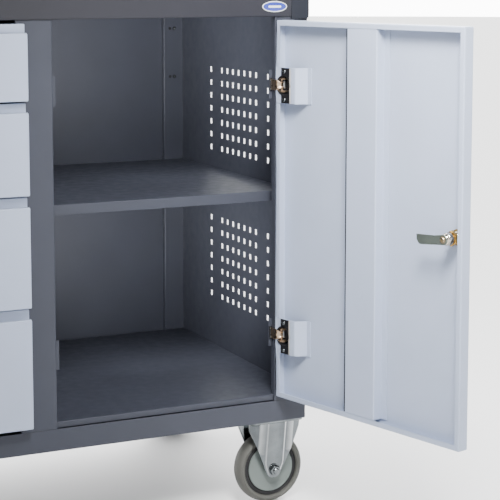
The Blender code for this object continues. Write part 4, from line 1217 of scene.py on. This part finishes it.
camera_data = bpy.data.cameras.new("camera")
camera_data.sensor_width = SENSOR
camera_data.lens = LENS
camera_data.shift_y = SHIFT_Y
camera_data.clip_end = 100.0
camera = add_object("camera", camera_data)
level = math.cos(PITCH)
looking = Vector((math.sin(YAW) * level, math.cos(YAW) * level, math.sin(PITCH)))
aim(camera, CAMERA_AT, CAMERA_AT + looking)
bpy.context.scene.camera = camera

floor_mesh = bpy.data.meshes.new("floor")
floor_bm = bmesh.new()
bmesh.ops.create_circle(floor_bm, cap_ends=True, segments=64, radius=30.0)
floor_bm.to_mesh(floor_mesh)
floor_bm.free()
floor = add_object("floor", floor_mesh)
floor.location.z = -0.0002
floor_mesh.materials.append(new_material("floor_white", (0.82, 0.82, 0.82), 0.7))

world = bpy.data.worlds.new("studio")
bpy.context.scene.world = world
world.use_nodes = True
background = world.node_tree.nodes["Background"]
# White behind the bench and dim in front of it, so that the bright metal mirrors something dark.
direction = node(world, "ShaderNodeTexCoord")
parts = node(world, "ShaderNodeSeparateXYZ")
link(world, direction.outputs["Generated"], parts.inputs["Vector"])
backwards = ramp_range(world, parts.outputs["Y"])
sky = ramp(world, backwards, [(0.0, SKY_FRONT), (0.60, SKY_SIDE), (0.86, 1.0)])
link(world, sky, background.inputs["Color"])
background.inputs["Strength"].default_value = SKY


def softbox(name, place, target, width, height, power, spread=180):
    """A rectangular area light that the camera doesn't see."""
    data = bpy.data.lights.new(name, "AREA")
    data.shape = "RECTANGLE"
    data.size = width
    data.size_y = height
    data.energy = power
    data.spread = math.radians(spread)
    light = add_object(name, data)
    light.visible_camera = False
    aim(light, place, target)


softbox("front", (-1.9, -4.0, 1.3), (0.1, 0, 0.45), 2.4, 1.6, FRONT)
softbox("fill", (0.9, -3.9, 1.5), (0.2, 0, 0.5), 0.8, 2.4, FILL)
softbox("door", (0.02, -1.15, 1.60), (0.52, -0.42, 0.80), 0.5, 0.5, DOOR_LIGHT, 80)
# Light carried into the open cupboard, from just behind its opening.
bay = ORIGIN + Vector((0.11, 0.08, 0.0))
for name, height in (("lower", 0.20), ("upper", 0.55)):
    inside = bay + Vector((0.26, 0.36, height + 0.17))
    softbox(f"bay_{name}", bay + Vector((0, 0, height)), inside, 0.16, 0.14, BAY_LIGHT, 115)
